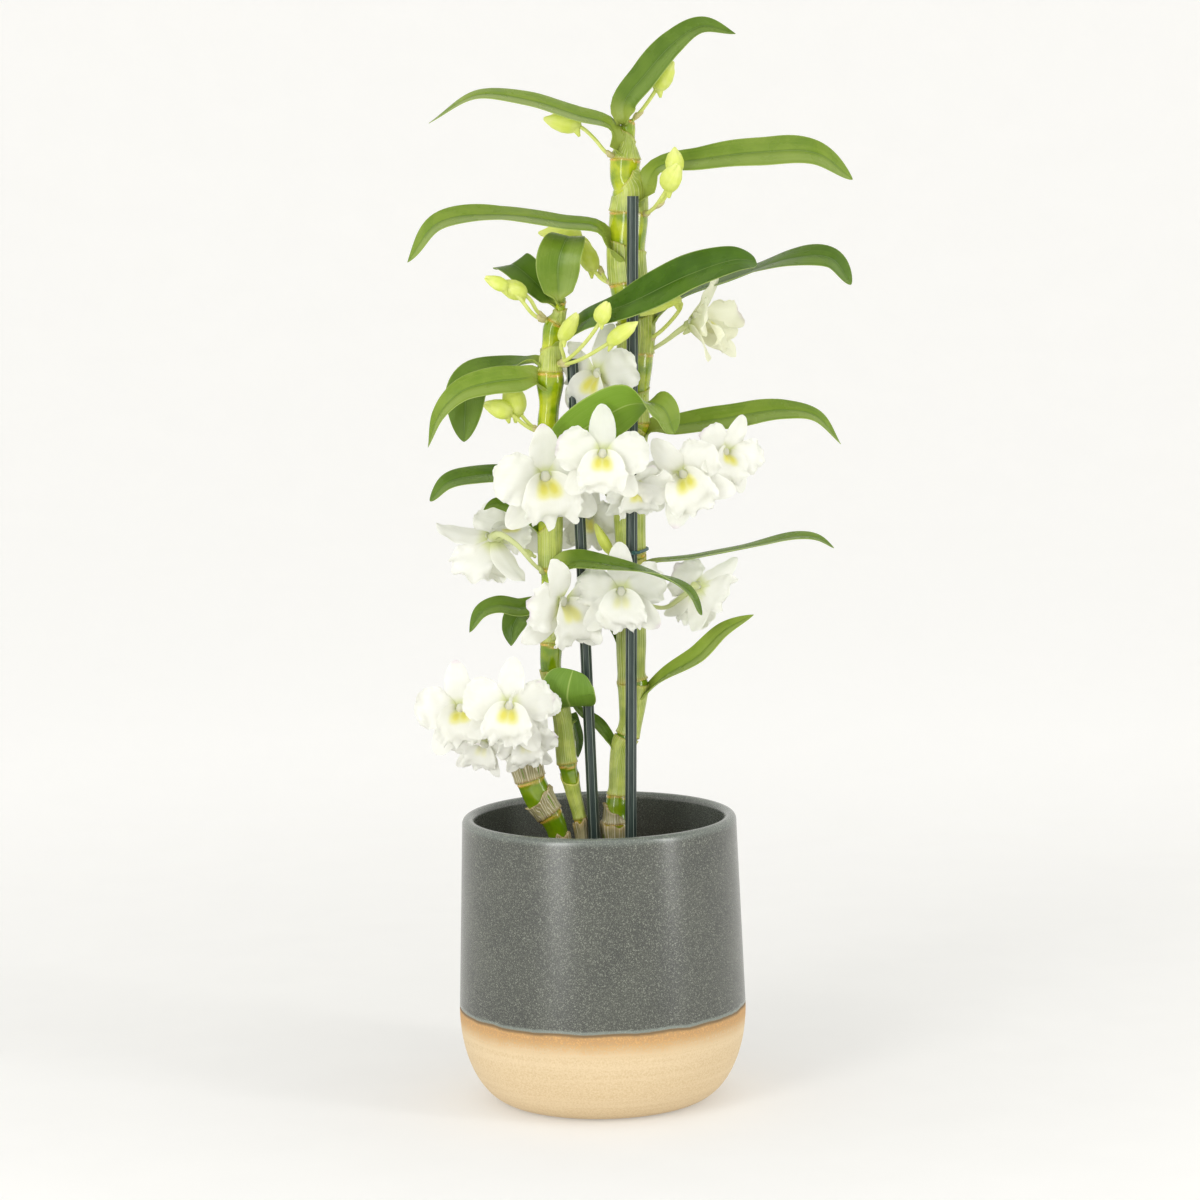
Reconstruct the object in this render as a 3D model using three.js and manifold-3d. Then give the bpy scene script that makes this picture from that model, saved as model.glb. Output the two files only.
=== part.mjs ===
// A potted dendrobium orchid: three leafy canes tied to two stakes, with white blooms and buds,
// growing in bark in a plastic nursery pot that stands inside a stoneware cover pot.
// Millimetres, +Z up, +Y away from the front. The origin is the centre of the pot's underside.

import * as THREE from 'three';
import { mergeVertices } from 'three/addons/utils/BufferGeometryUtils.js';
import Module from 'manifold-3d';

const wasm = await Module();
wasm.setup();

// ---------- driving dimensions ----------

const GAP = 0.3;                 // clearance where one piece touches another

const POT_HEIGHT = 143;
const POT_BELLY_RADIUS = 71.5;   // widest, at the glaze line
const POT_RIM_RADIUS = 68.2;
const POT_FOOT_RADIUS = 46;      // flat underside
const POT_BELLY_HEIGHT = 46;
const POT_WALL = 6.2;
const POT_FLOOR = 8;
const POT_INNER_CORNER = 18;     // radius inside, where wall meets floor

const NURSERY_FOOT_RADIUS = 42;
const NURSERY_RIM_RADIUS = 57.5;
const NURSERY_HEIGHT = 104;
const NURSERY_WALL = 1.4;
const NURSERY_LIP = 2.2;         // how far the rolled rim stands out
const DRAIN_HOLE_RADIUS = 4.5;
const DRAIN_HOLE_CIRCLE = 28;
const DRAIN_HOLES = 4;

const BARK_TOP = 103;
const BARK_CHIPS = 11;
const CHIP_LENGTH = 12;
const CHIP_WIDTH = 8;
const CHIP_THICKNESS = 5;
const CHIP_GROWTH = 2;           // from one size of chip to the next
const CHIP_SPREAD = 44;          // the chips' centres keep within this radius
const CHIP_TILT = 0.3;           // radians
const GOLDEN_ANGLE = 137.5;      // degrees, spreads the chips evenly

const STAKE_RADIUS = 2.8;
const STAKE_FOOT = 26;           // height of the stakes' lower ends
const TIE_RADIUS = 0.7;
const TIE_ROOM = 0.95;           // from a cane's or stake's surface to the wire's centre, with clearance
const TIE_ENTRY = 0.15;          // radians past square where the wire meets the cane's side
const TIE_OVERLAP = 0.75;        // radians that the wire's end stops short of its start

const LEAF_THICKNESS = 0.8;
const PETAL_THICKNESS = 0.7;

// ---------- materials ----------

function material(color, roughness, metalness = 0) {
  return new THREE.MeshStandardMaterial({ color, roughness, metalness });
}

const STONEWARE = material(0x4c5251, 0.45);
const NURSERY_PLASTIC = material(0x2b2a29, 0.5);
const BARK = material(0x6b4a33, 0.9);
const STAKE_PLASTIC = material(0x25413c, 0.4);
const TIE_WIRE = material(0x1f4a45, 0.5);
const CANE_GREEN = material(0x9aa548, 0.45);
const LEAF_GREEN = material(0x3f7034, 0.4);
const PETAL_WHITE = material(0xf6f6f0, 0.6);
const BUD_GREEN = material(0xcfdc72, 0.5);

// ---------- the plant's forms: places in millimetres ----------

// Each cane is a row of stations [x, y, z, radius] from the bark upwards.
// A short bulge is a node, and the drop after it the foot of the next sheath.
const CANES = {
  cane_tall: [
    [9, 4, 84, 3], [9, 4, 100, 5], [8.5, 4, 122, 6.4], [8.5, 4, 135, 7.6], [8.5, 4, 142, 5.8],
    [9, 4, 150, 5.5], [9.5, 4, 154, 4.2], [12, 4, 177, 4.8], [14.5, 4, 181, 5.7], [16.5, 4, 188, 5.2],
    [18, 4, 206, 7.4], [18, 4, 208, 8], [17.5, 4, 211, 6.4], [17.5, 4, 229, 7.1], [18, 4, 250, 6.6],
    [19, 4, 269, 5.9], [18.5, 4, 273, 6.9], [18, 4, 302, 7.8], [21, 4, 334, 6.2], [21.5, 4, 337, 6.9],
    [22, 4, 349, 5.7], [22, 4, 366, 8.6], [22.5, 4, 389, 9.3], [19.5, 4, 406, 9.5], [18.5, 4, 422, 9.2],
    [20, 4, 438, 9.6], [20.5, 4, 453, 8.1], [18.5, 4, 458, 7], [19, 4, 467, 7.6], [20, 4, 475, 3.5],
    [20.5, 4, 483, 3.7], [20.5, 4, 486, 2.6],
  ],
  cane_middle: [
    [-6, 0, 84, 2], [-8, 0, 110, 2.6], [-9.5, 0, 140, 2.8], [-12.5, 0, 154, 3.4], [-15, 0, 167, 4.4],
    [-15.5, 0, 170, 4.8], [-17.5, 0, 193, 4.3], [-20.5, 0, 206, 4.9], [-22.5, 0, 217, 5.1],
    [-22, 0, 230, 5.6], [-21.5, 0, 246, 5.2], [-22, 0, 264, 4.2], [-22, 0, 268, 5.4], [-21.5, 0, 286, 5.9],
    [-21.5, 0, 306, 5.3], [-20.5, 0, 330, 4.4], [-21.5, 0, 337, 5.2], [-20.5, 0, 348, 4.9],
    [-20, 0, 360, 7.3], [-20, 0, 364, 5.9], [-19, 0, 377, 4.4], [-17.5, 0, 386, 5.3],
    [-15.5, 0, 390, 3.3], [-14, 0, 396, 2.3], [-13.5, 0, 400, 2],
  ],
  cane_short: [
    [-14, -3, 84, 3], [-17, -3, 112, 4.2], [-20.5, -3, 133, 4.9], [-22.5, -3, 140, 5.6],
    [-29, -3, 151, 7.4], [-33.5, -3, 161, 7], [-36, -3, 171, 8.2], [-38, -3, 183, 7.4],
    [-39.5, -3, 192, 5.4], [-40, -3, 197, 3],
  ],
};

const STAKES = {
  stake_right: [[13.5, -9, STAKE_FOOT], [15.6, -9, 138], [22.2, -9, 449]],
  stake_left: [[0, -2, STAKE_FOOT], [-2.8, -2, 138], [-6, -2, 265], [-8.8, -2, 370]],
};

// Each wire tie runs round a cane and its stake at one height, and ends in a twisted tail.
const TIES = {
  tie_right: { cane: [18.5, 4], caneRadius: 6.9, stake: [18.5, -9], height: 275, turn: 0.1 },
  tie_left: { cane: [-21.6, 0], caneRadius: 5.7, stake: [-7, -2], height: 303, turn: -0.9 },
};

// Each leaf: the midrib's route from its cane to the tip, the full width, where along the blade it is
// widest, how wide its foot is beside that, how round its tip is (1 is drawn out, 0.4 is round), how far
// it is folded along the midrib, and which way its upper side faces from the foot to the tip.
const LEAVES = {
  leaf_top: {
    cane: 'cane_tall', width: 18, peak: 0.42, neck: 0.6, round: 0.8, fold: 0.12,
    faces: [[-0.5, -0.8, 0.35], [0, -0.65, 0.75]],
    route: [[20.5, 4, 484], [19, 0, 494], [29, -6, 507], [43, -12, 522], [57, -16, 530], [73, -16, 526]],
  },
  leaf_upper_left: {
    cane: 'cane_tall', width: 19, peak: 0.4, neck: 0.65, round: 0.9, fold: 0.12,
    faces: [[0, -0.5, 0.85], [0, -0.4, 0.9], [0, -0.25, 0.97]],
    route: [[19, 2, 472], [12, -4, 483], [-3, -9, 488], [-27, -13, 496], [-52, -12, 499], [-76, -8, 486]],
  },
  leaf_right_high: {
    cane: 'cane_tall', width: 21, peak: 0.68, neck: 0.7, round: 0.7, fold: 0.12,
    faces: [[0, -0.5, 0.85], [0, -0.6, 0.8], [0.2, -0.7, 0.7]],
    route: [[24, 3, 449], [34, -4, 462], [55, -10, 466], [84, -14, 469], [111, -14, 468], [129, -9, 455]],
  },
  leaf_left_high: {
    cane: 'cane_tall', width: 19, peak: 0.66, neck: 0.6, round: 0.8, fold: 0.12,
    faces: [[0, -0.5, 0.85], [0, -0.32, 0.95], [-0.3, -0.65, 0.7]],
    route: [[15, 2, 424], [5, -6, 434], [-13, -10, 437], [-40, -13, 441], [-72, -13, 438], [-88, -8, 419]],
  },
  leaf_long_front: {
    cane: 'cane_middle', width: 25, peak: 0.6, neck: 0.4, round: 0.45, fold: 0.12,
    faces: [[0, -0.6, 0.8], [0, -0.6, 0.8]],
    route: [[-17, -1, 379], [-2, -11, 389], [20, -21, 398], [48, -26, 411], [71, -27, 418], [81, -24, 417]],
  },
  leaf_right_mid: {
    cane: 'cane_tall', width: 20, peak: 0.75, neck: 0.35, round: 0.6, fold: 0.12,
    faces: [[0, -0.1, 1], [0, -0.2, 1], [0.5, -0.7, 0.6]],
    route: [[22, 4, 388], [44, 5, 398], [69, 1, 407], [98, -6, 417], [118, -8, 417], [128, -6, 404]],
  },
  leaf_crown: {
    cane: 'cane_middle', width: 23, peak: 0.6, neck: 0.28, round: 0.45, fold: 0.15,
    faces: [[0, -1, 0.1], [0, -0.3, 1]],
    route: [[-14, 0, 398], [-15, -3, 408], [-14.5, -5, 418], [-12, -2, 427], [-9, 7, 430], [-7, 16, 428]],
  },
  leaf_crown_left: {
    cane: 'cane_middle', width: 20, peak: 0.55, neck: 0.3, round: 0.5, fold: 0.15,
    faces: [[0.2, -0.8, 0.6], [0, -0.5, 0.9]],
    route: [[-14, 1, 396], [-22, 4, 403], [-29, 6, 410], [-37, 10, 416], [-41, 18, 414]],
  },
  leaf_left_front: {
    cane: 'cane_middle', width: 18, peak: 0.35, neck: 0.6, round: 0.9, fold: 0.15,
    faces: [[0, -0.8, 0.5], [-0.6, -0.5, 0.5]],
    route: [[-21, -1, 361], [-35, -9, 361], [-49, -14, 360], [-63, -16, 356], [-74, -16, 345], [-80, -14, 329]],
  },
  leaf_left_back: {
    cane: 'cane_middle', width: 16, peak: 0.62, neck: 0.3, round: 0.7, fold: 0.12,
    faces: [[0, -0.15, 1], [-0.4, -0.9, 0.2]],
    route: [[-21, 2, 368], [-42, 6, 366], [-57, 3, 361], [-64, 1, 354], [-63, 0, 344], [-64, 1, 329]],
  },
  leaf_left_short: {
    cane: 'cane_middle', width: 17, peak: 0.5, neck: 0.4, round: 0.6, fold: 0.12,
    faces: [[0, -0.4, 0.9], [-0.3, -0.6, 0.8]],
    route: [[-22, 0, 311], [-42, -4, 314], [-58, -8, 314], [-71, -10, 311], [-80, -8, 302]],
  },
  leaf_left_small: {
    cane: 'cane_middle', width: 9, peak: 0.5, neck: 0.5, round: 0.7, fold: 0.12,
    faces: [[0, -0.5, 0.8], [-0.6, -0.6, 0.3]],
    route: [[-22, 1, 287], [-33, 3, 293], [-42, 4, 298], [-49, 4, 299], [-54, 3, 296]],
  },
  leaf_centre: {
    cane: 'cane_middle', width: 26, peak: 0.5, neck: 0.3, round: 0.5, fold: 0.1,
    faces: [[0, 1, 0.2], [0, 1, 0.2], [0, 1, 0.3], [0.2, 0.7, 0.7], [0.7, -0.6, 0.4], [0.6, -0.8, 0]],
    route: [[-20, -3, 326], [-10, -16, 333], [4, -24, 342], [20, -30, 350], [34, -33, 348], [40, -29, 335]],
  },
  leaf_right_low: {
    cane: 'cane_tall', width: 19, peak: 0.5, neck: 0.5, round: 0.9, fold: 0.12,
    faces: [[0, -0.6, 0.8], [0, -0.6, 0.8], [0.2, -0.3, 0.9]],
    route: [[22, 4, 334], [43, 3, 336], [65, 1, 339], [95, -4, 343], [110, -6, 340], [122, -6, 326]],
  },
  leaf_right_thin: {
    cane: 'cane_tall', width: 15, peak: 0.6, neck: 0.35, round: 0.7, fold: 0.12,
    faces: [[0, -0.1, 1], [0, -0.1, 1], [0.3, -0.3, 0.9]],
    route: [[19, 4, 267], [52, 2, 271], [82, -4, 277], [101, -7, 281], [110, -8, 280], [118, -8, 275]],
  },
  leaf_centre_low: {
    cane: 'cane_middle', width: 13, peak: 0.6, neck: 0.6, round: 0.6, fold: 0.12,
    faces: [[0, -0.6, 0.8], [0.1, -0.1, 1], [0.8, -0.6, 0.4]],
    route: [[-22, -2, 265], [-9, -16, 272], [9, -30, 271], [29, -34, 267], [46, -34, 258], [52, -30, 246]],
  },
  leaf_right_base: {
    cane: 'cane_tall', width: 13, peak: 0.55, neck: 0.4, round: 0.8, fold: 0.3,
    faces: [[-0.6, -0.1, 0.75], [-0.3, -0.3, 0.9]],
    route: [[18, 4, 204], [34, -1, 212], [50, -6, 222], [63, -9, 235], [78, -10, 243]],
  },
  leaf_left_low: {
    cane: 'cane_middle', width: 14, peak: 0.45, neck: 0.6, round: 0.8, fold: 0.12,
    faces: [[0, -0.5, 0.85], [-0.5, -0.6, 0.5]],
    route: [[-22, -1, 248], [-37, -6, 248], [-48, -10, 250], [-56, -12, 247], [-62, -11, 237]],
  },
  leaf_left_folded: {
    cane: 'cane_middle', width: 13, peak: 0.6, neck: 0.5, round: 0.7, fold: 0.12,
    faces: [[0, -0.3, 0.9], [-0.8, -0.6, 0]],
    route: [[-22, 2, 242], [-35, 5, 243], [-43, 4, 239], [-45, 3, 229]],
  },
  leaf_round: {
    cane: 'cane_middle', width: 26, peak: 0.6, neck: 0.28, round: 0.4, fold: 0.1,
    faces: [[0, 0.2, 1], [0, 0.7, 0.7], [0, 1, 0.2], [0, 1, 0]],
    route: [[-13.5, -4, 198], [-13.5, -12, 200], [-14, -18, 206], [-12.5, -20, 214], [-10, -19, 221]],
  },
  leaf_cross: {
    cane: 'cane_tall', width: 8, peak: 0.5, neck: 0.6, round: 0.8, fold: 0.12,
    faces: [[0.3, -0.6, 0.7], [0.3, -0.6, 0.7]],
    route: [[14, 4, 178], [1, 5, 187], [-7, 8, 193], [-13, 12, 198]],
  },
  leaf_curled: {
    cane: 'cane_middle', width: 8, peak: 0.5, neck: 0.6, round: 0.7, fold: 0.12,
    faces: [[0.8, -0.5, 0.3], [0.8, -0.6, 0]],
    route: [[-17, 1, 192], [-11, 3, 187], [-9.5, 4, 180], [-10, 4, 171]],
  },
  leaf_back_high: {
    cane: 'cane_tall', width: 9, peak: 0.5, neck: 0.5, round: 0.7, fold: 0.12,
    faces: [[0, -0.6, 0.8], [0, -0.4, 0.9]],
    route: [[18, 5, 297], [9, 14, 303], [3, 21, 305], [-2, 31, 303]],
  },
  leaf_back_low: {
    cane: 'cane_tall', width: 9, peak: 0.5, neck: 0.5, round: 0.7, fold: 0.12,
    faces: [[0, -0.6, 0.8], [0, -0.5, 0.8]],
    route: [[17, 5, 232], [8, 13, 239], [1, 19, 242], [-4, 28, 238]],
  },
};

// Each bloom: where its throat is, which way it faces, which way its top sepal points, its size beside
// a full bloom, how far its petals are folded forward (degrees), the same for its sepals where they
// differ, and its stalk's route from the cane.
const BLOOMS = {
  bloom_high: [{
    throat: [5.5, -6, 362], faces: [-0.62, -0.78, -0.05], top: [0.15, 0, 1], size: 0.85, cup: -12,
    stalk: [[21, 4, 356], [14, 7, 356], [10, 4, 360]],
  }],
  bloom_right_high: [{
    throat: [50, -3, 391], faces: [0.8, -0.35, -0.45], top: [0.3, 0.2, 0.9], size: 1, cup: 34, sepals: 20,
    stalk: [[22, 4, 369], [36, 2, 380], [44, 0, 390]],
  }],
  bloom_centre_left: [{
    throat: [-23, -19, 313], faces: [0.2, -0.95, -0.15], top: [-0.1, 0, 1], size: 1.15, cup: 3,
    stalk: [[-21.5, 0, 290], [-23, -8, 296], [-23, -13, 304]],
  }],
  bloom_centre: [{
    throat: [5, -33, 325], faces: [0, -1, 0], top: [0.05, 0, 1], size: 0.95, cup: 0,
    stalk: [[-21.5, 0, 314], [-13, -4, 317], [-2, -8, 319.5], [7, -18, 323]],
  }],
  blooms_centre_right: [{
    throat: [45, -17, 313], faces: [-0.15, -0.95, -0.15], top: [-0.55, 0, 0.85], size: 1, cup: 5,
    stalk: [[20, 4, 308], [31, 1, 308], [40, -7, 310]],
  }, {
    throat: [21, -17, 309], faces: [0.25, -0.7, -0.65], top: [0.2, -0.6, 0.75], size: 0.8, cup: 10,
    stalk: [[31, 1, 308], [30, -6, 309], [26, -14, 310]],
  }, {
    throat: [65, -12, 323], faces: [0.5, -0.85, 0], top: [0.4, 0, 0.9], size: 0.8, cup: 5,
    stalk: [[31, 1, 308], [44, 2, 312], [58, -3, 320]],
  }],
  blooms_left: [{
    throat: [-50, -2, 282], faces: [-0.45, 0.45, -0.77], top: [-0.85, 0, 0.5], size: 1.1, cup: 28, sepals: -8,
    stalk: [[-22, 0, 262], [-30, -7, 270], [-38, -10, 280], [-46, -8, 285]],
  }, {
    throat: [-40, 15, 284], faces: [-0.1, -0.8, 0.5], top: [0, 0.5, 0.85], size: 0.85, cup: 10,
    stalk: [[-29, -4, 273], [-35, 4, 276], [-38, 12, 280]],
  }],
  bloom_back: [{
    throat: [-2, 14, 290], faces: [-0.2, -0.9, -0.3], top: [0.1, 0, 1], size: 0.8, cup: 5,
    stalk: [[19, 4, 265], [11, 12, 270], [4, 16, 281]],
  }],
  blooms_low: [{
    throat: [-18, -17, 252], faces: [0.5, -0.85, -0.1], top: [-0.1, 0, 1], size: 1, cup: 5,
    stalk: [[-22, 0, 230], [-20, -9, 236], [-17, -14, 248]],
  }, {
    throat: [13, -19, 256], faces: [0, -1, 0], top: [0, 0, 1], size: 0.95, cup: -8,
    stalk: [[-20, -9, 236], [-8, -14, 237], [4, -18, 242], [11, -17, 250]],
  }],
  bloom_low_right: [{
    throat: [50, -9, 257], faces: [0.5, 0.5, -0.5], top: [0.4, 0, 0.9], size: 0.95, cup: 5,
    stalk: [[18.5, 4, 250], [34, 0, 246], [43, -5, 252]],
  }],
  blooms_base_left: [{
    throat: [-43, -29, 202], faces: [0, -1, 0], top: [0.15, 0, 1], size: 0.95, cup: 0,
    stalk: [[-39, -3, 190], [-40, -14, 192], [-43, -20, 200]],
  }, {
    throat: [-67, -15, 199], faces: [-0.1, -0.97, 0.1], top: [-0.15, 0, 1], size: 0.95, cup: 5,
    stalk: [[-40, -14, 192], [-52, -13, 194], [-62, -10, 198]],
  }, {
    throat: [-37, -8, 205], faces: [0.05, -1, 0], top: [0.4, 0, 0.9], size: 0.72, cup: 0,
    stalk: [[-40, -14, 192], [-40, -9, 196], [-39, -5, 202]],
  }, {
    throat: [-36, -21, 184], faces: [0.15, -0.7, -0.7], top: [0, -0.7, 0.7], size: 0.65, cup: 20,
    stalk: [[-40, -14, 192], [-38, -17, 188]],
  }, {
    throat: [-56, -12, 182], faces: [-0.3, -0.6, -0.7], top: [0, -0.75, 0.7], size: 0.7, cup: 15,
    stalk: [[-40, -14, 192], [-49, -11, 188]],
  }],
};

// Each spray: its stalks' routes from the cane, every one ending in a bud of a given length and width.
const SPRAYS = {
  buds_top: { cane: 'cane_tall', stalks: [
    { route: [[20.5, 4, 483], [28, 2, 491], [34.5, 0, 500], [43, -1, 513]], bud: [16, 9.5] },
  ] },
  buds_upper_left: { cane: 'cane_tall', stalks: [
    { route: [[18, 3, 467], [10, -2, 470], [4, -2, 477], [-3, -1, 483], [-20, 0, 487]], bud: [18, 10] },
  ] },
  buds_right_high: { cane: 'cane_tall', stalks: [
    { route: [[22, 3, 439], [30, -4, 441], [37, -13, 449.5], [44, -24.5, 464]], bud: [16, 10.5] },
    { route: [[30, -4, 441], [37, -10, 447], [42, -18, 459], [42.5, -20, 472]], bud: [13, 9] },
  ] },
  buds_left_high: { cane: 'cane_tall', stalks: [
    { route: [[18, 4, 405], [9, 2, 407], [4, 6, 411], [-4, 12, 428]], bud: [18, 9.5] },
    { route: [[9, 2, 407], [3, 12, 413], [-5, 19, 424], [-26, 22, 424]], bud: [20, 9] },
  ] },
  buds_crown_left: { cane: 'cane_middle', stalks: [
    { route: [[-18, 0, 387], [-25, -2, 393], [-30, -6, 401], [-44, -9, 408]], bud: [15, 9.5] },
    { route: [[-18, 0, 387], [-27, -6, 392], [-36, -11, 403], [-50, -13, 411]], bud: [12, 7] },
  ] },
  buds_centre: { cane: 'cane_middle', stalks: [
    { route: [[-19, 0, 366], [-13, -7, 370], [-14, -14, 379], [-6, -19, 393]], bud: [16, 8] },
    { route: [[-19, 0, 366], [-9, -12, 372], [3, -25, 386], [9, -35, 399]], bud: [13, 8.5] },
    { route: [[-19, 0, 366], [-6, -14, 370], [6, -24, 377], [23, -33, 389]], bud: [19, 8] },
  ] },
  buds_mid_left: { cane: 'cane_middle', stalks: [
    { route: [[-21, 0, 332], [-31, -4, 337], [-40, -6, 344], [-52, -7, 349]], bud: [14, 9.5] },
    { route: [[-21, 0, 332], [-30, -2, 338], [-36, -2, 346], [-40, 0, 360]], bud: [18, 11.5] },
  ] },
  bud_back: { cane: 'cane_tall', stalks: [
    { route: [[19, 4, 266], [10, 0, 272], [5, -1, 280], [1, 1, 288]], bud: [17, 5.5] },
  ] },
  bud_right_high: { cane: 'cane_tall', stalks: [
    { route: [[22, 4, 375], [35, -3, 383], [44, -6, 396], [40, -7, 398], [29, -7, 391]], bud: [20, 6.5] },
  ] },
};

// ---------- closed meshes and solids ----------

function vector([x, y, z]) {
  return new THREE.Vector3(x, y, z);
}

function solidOf(geometry) {
  const bare = geometry.index ? geometry.clone() : geometry;
  bare.deleteAttribute('normal');
  bare.deleteAttribute('uv');
  const merged = mergeVertices(bare, 1e-4);
  return new wasm.Manifold(new wasm.Mesh({
    numProp: 3,
    vertProperties: new Float32Array(merged.attributes.position.array),
    triVerts: new Uint32Array(merged.index.array),
  }));
}

function geometryOf(solid) {
  const mesh = solid.getMesh();
  const geometry = new THREE.BufferGeometry();
  geometry.setAttribute('position', new THREE.BufferAttribute(mesh.vertProperties, 3));
  geometry.setIndex(new THREE.BufferAttribute(mesh.triVerts, 1));
  geometry.computeVertexNormals();
  return geometry;
}

function joined(solids) {
  return solids.reduce((sum, solid) => sum.add(solid));
}

// Keeps the largest body of a cut piece: the scraps left beyond a cut are dropped.
function largest(solid) {
  return solid.decompose().reduce((best, body) => (body.volume() > best.volume() ? body : best));
}

// Moves each vertex of a geometry to the place that a function gives for it.
function reshaped(geometry, place) {
  const positions = geometry.attributes.position;
  for (let index = 0; index < positions.count; index += 1) {
    const target = place(new THREE.Vector3().fromBufferAttribute(positions, index));
    positions.setXYZ(index, target.x, target.y, target.z);
  }
  return geometry;
}

// Gives an open surface a thickness. The front and the back are split into the same triangles, so that
// they never cross where the surface is bent, and a rim joins them along the surface's edge.
function thickened(surface, place) {
  const bare = surface.clone();
  bare.deleteAttribute('normal');
  bare.deleteAttribute('uv');
  const merged = mergeVertices(bare, 1e-4);
  const source = merged.attributes.position;
  const points = Array.from({ length: source.count }, (_, index) => (
    new THREE.Vector3().fromBufferAttribute(source, index)));
  const places = [0.5, -0.5].flatMap((side) => points.map(({ x, y }) => place(x, y, side)));
  const corners = Array.from(merged.index.array);
  const front = [];
  for (let index = 0; index < corners.length; index += 3) {
    const face = corners.slice(index, index + 3);
    if (new Set(face).size === 3) {
      front.push(face);
    }
  }
  const edges = front.flatMap(([a, b, c]) => [[a, b], [b, c], [c, a]]);
  const known = new Set(edges.map(([a, b]) => `${a} ${b}`));
  const rim = edges.filter(([a, b]) => !known.has(`${b} ${a}`));
  const back = (index) => index + source.count;
  const faces = [
    ...front,
    ...front.map(([a, b, c]) => [back(c), back(b), back(a)]),
    ...rim.flatMap(([a, b]) => [[b, a, back(a)], [b, back(a), back(b)]]),
  ];
  return new THREE.BufferGeometry().setFromPoints(places).setIndex(faces.flat());
}

// A round bar through stations [x, y, z, radius], with a ring of vertices at each.
function bar(stations, sides, extra = 0) {
  const last = stations.length - 1;
  const centres = stations.map(vector);
  const tangents = centres.map((_, index) => centres[Math.min(index + 1, last)].clone()
    .sub(centres[Math.max(index - 1, 0)]).normalize());
  const span = centres[last].clone().sub(centres[0]).normalize();
  const level = Math.abs(span.y) < 0.8 ? new THREE.Vector3(0, 1, 0) : new THREE.Vector3(1, 0, 0);
  return reshaped(new THREE.CylinderGeometry(1, 1, 1, sides, last), (point) => {
    const index = Math.round((point.y + 0.5) * last);
    const across = new THREE.Vector3().crossVectors(tangents[index], level).normalize();
    const forward = new THREE.Vector3().crossVectors(across, tangents[index]);
    const radius = stations[index][3] + extra;
    return centres[index].clone()
      .addScaledVector(across, point.x * radius)
      .addScaledVector(forward, point.z * radius);
  });
}

// A round tube of one radius along a curve.
function tube(curve, radius, sides, steps) {
  const corners = Array.from({ length: sides }, (_, index) => {
    const angle = (index / sides) * Math.PI * 2;
    return new THREE.Vector2(radius * Math.cos(angle), radius * Math.sin(angle));
  });
  return new THREE.ExtrudeGeometry(new THREE.Shape(corners), { extrudePath: curve, steps, bevelEnabled: false });
}

// Stations spread evenly along a smooth route, with the radius given by a function of the share run.
function stationsAlong(route, steps, radiusAt) {
  const curve = new THREE.CatmullRomCurve3(route.map(vector));
  return Array.from({ length: steps + 1 }, (_, index) => {
    const share = index / steps;
    const { x, y, z } = curve.getPointAt(share);
    return [x, y, z, radiusAt(share)];
  });
}

const BLADE_TIP = 0.08;          // a blade's narrowest, beside its full width

// How wide a blade is at a share of its length, beside its full width.
function bladeShape(share, { peak, neck, round }) {
  if (share < peak) {
    const rise = Math.sin((share / peak) * (Math.PI / 2));
    return neck + (1 - neck) * rise;
  }
  const fall = (share - peak) / (1 - peak);
  return Math.max((1 - fall ** 2) ** round, BLADE_TIP);
}

// Where a blade's points lie: x runs from -1 to 1 across it, share from 0 to 1 along its route, and
// z from -0.5 to 0.5 through its thickness.
function bladePlace(form, thickness) {
  const curve = new THREE.CatmullRomCurve3(form.route.map(vector));
  const faces = form.faces.map(vector);
  const lastFace = faces.length - 1;
  return (x, share, z) => {
    const tangent = curve.getTangentAt(share);
    const before = Math.min(Math.floor(share * lastFace), lastFace - 1);
    const face = faces[before].clone().lerp(faces[before + 1], share * lastFace - before);
    const side = new THREE.Vector3().crossVectors(tangent, face).normalize();
    const normal = new THREE.Vector3().crossVectors(side, tangent);
    const halfWidth = (form.width / 2) * bladeShape(share, form);
    return curve.getPointAt(share)
      .addScaledVector(side, x * halfWidth)
      .addScaledVector(normal, form.fold * halfWidth * Math.abs(x) + thickness * z);
  };
}

// ---------- pot, nursery pot and bark ----------

// Turns a profile of [radius, height] points round the Z axis.
function turned(profile, segments) {
  const points = profile.map(([radius, height]) => new THREE.Vector2(radius, height));
  return new THREE.LatheGeometry(points, segments).rotateX(Math.PI / 2);
}

// Points on a quarter ellipse round a centre, from one angle to another (degrees).
function arc(centreRadius, centreHeight, reach, rise, from, to, steps) {
  return Array.from({ length: steps + 1 }, (_, index) => {
    const angle = THREE.MathUtils.degToRad(from + ((to - from) * index) / steps);
    return [centreRadius + reach * Math.cos(angle), centreHeight + rise * Math.sin(angle)];
  });
}

function coverPot() {
  const segments = 32;
  const lip = POT_WALL / 2;
  const innerBelly = POT_BELLY_RADIUS - POT_WALL;
  const cornerReach = POT_BELLY_RADIUS - POT_FOOT_RADIUS;
  const floorCorner = POT_FLOOR + POT_INNER_CORNER;
  return turned([
    [0, 0],
    ...arc(POT_FOOT_RADIUS, POT_BELLY_HEIGHT, cornerReach, POT_BELLY_HEIGHT, -90, 0, 5),
    ...arc(POT_RIM_RADIUS - lip, POT_HEIGHT - lip, lip, lip, 0, 180, 4),
    ...arc(innerBelly - POT_INNER_CORNER, floorCorner, POT_INNER_CORNER, POT_INNER_CORNER, 0, -90, 2),
    [0, POT_FLOOR],
  ], segments);
}

function nurseryInnerRadius(height) {
  const share = (height - POT_FLOOR) / NURSERY_HEIGHT;
  return THREE.MathUtils.lerp(NURSERY_FOOT_RADIUS, NURSERY_RIM_RADIUS, share) - NURSERY_WALL;
}

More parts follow.
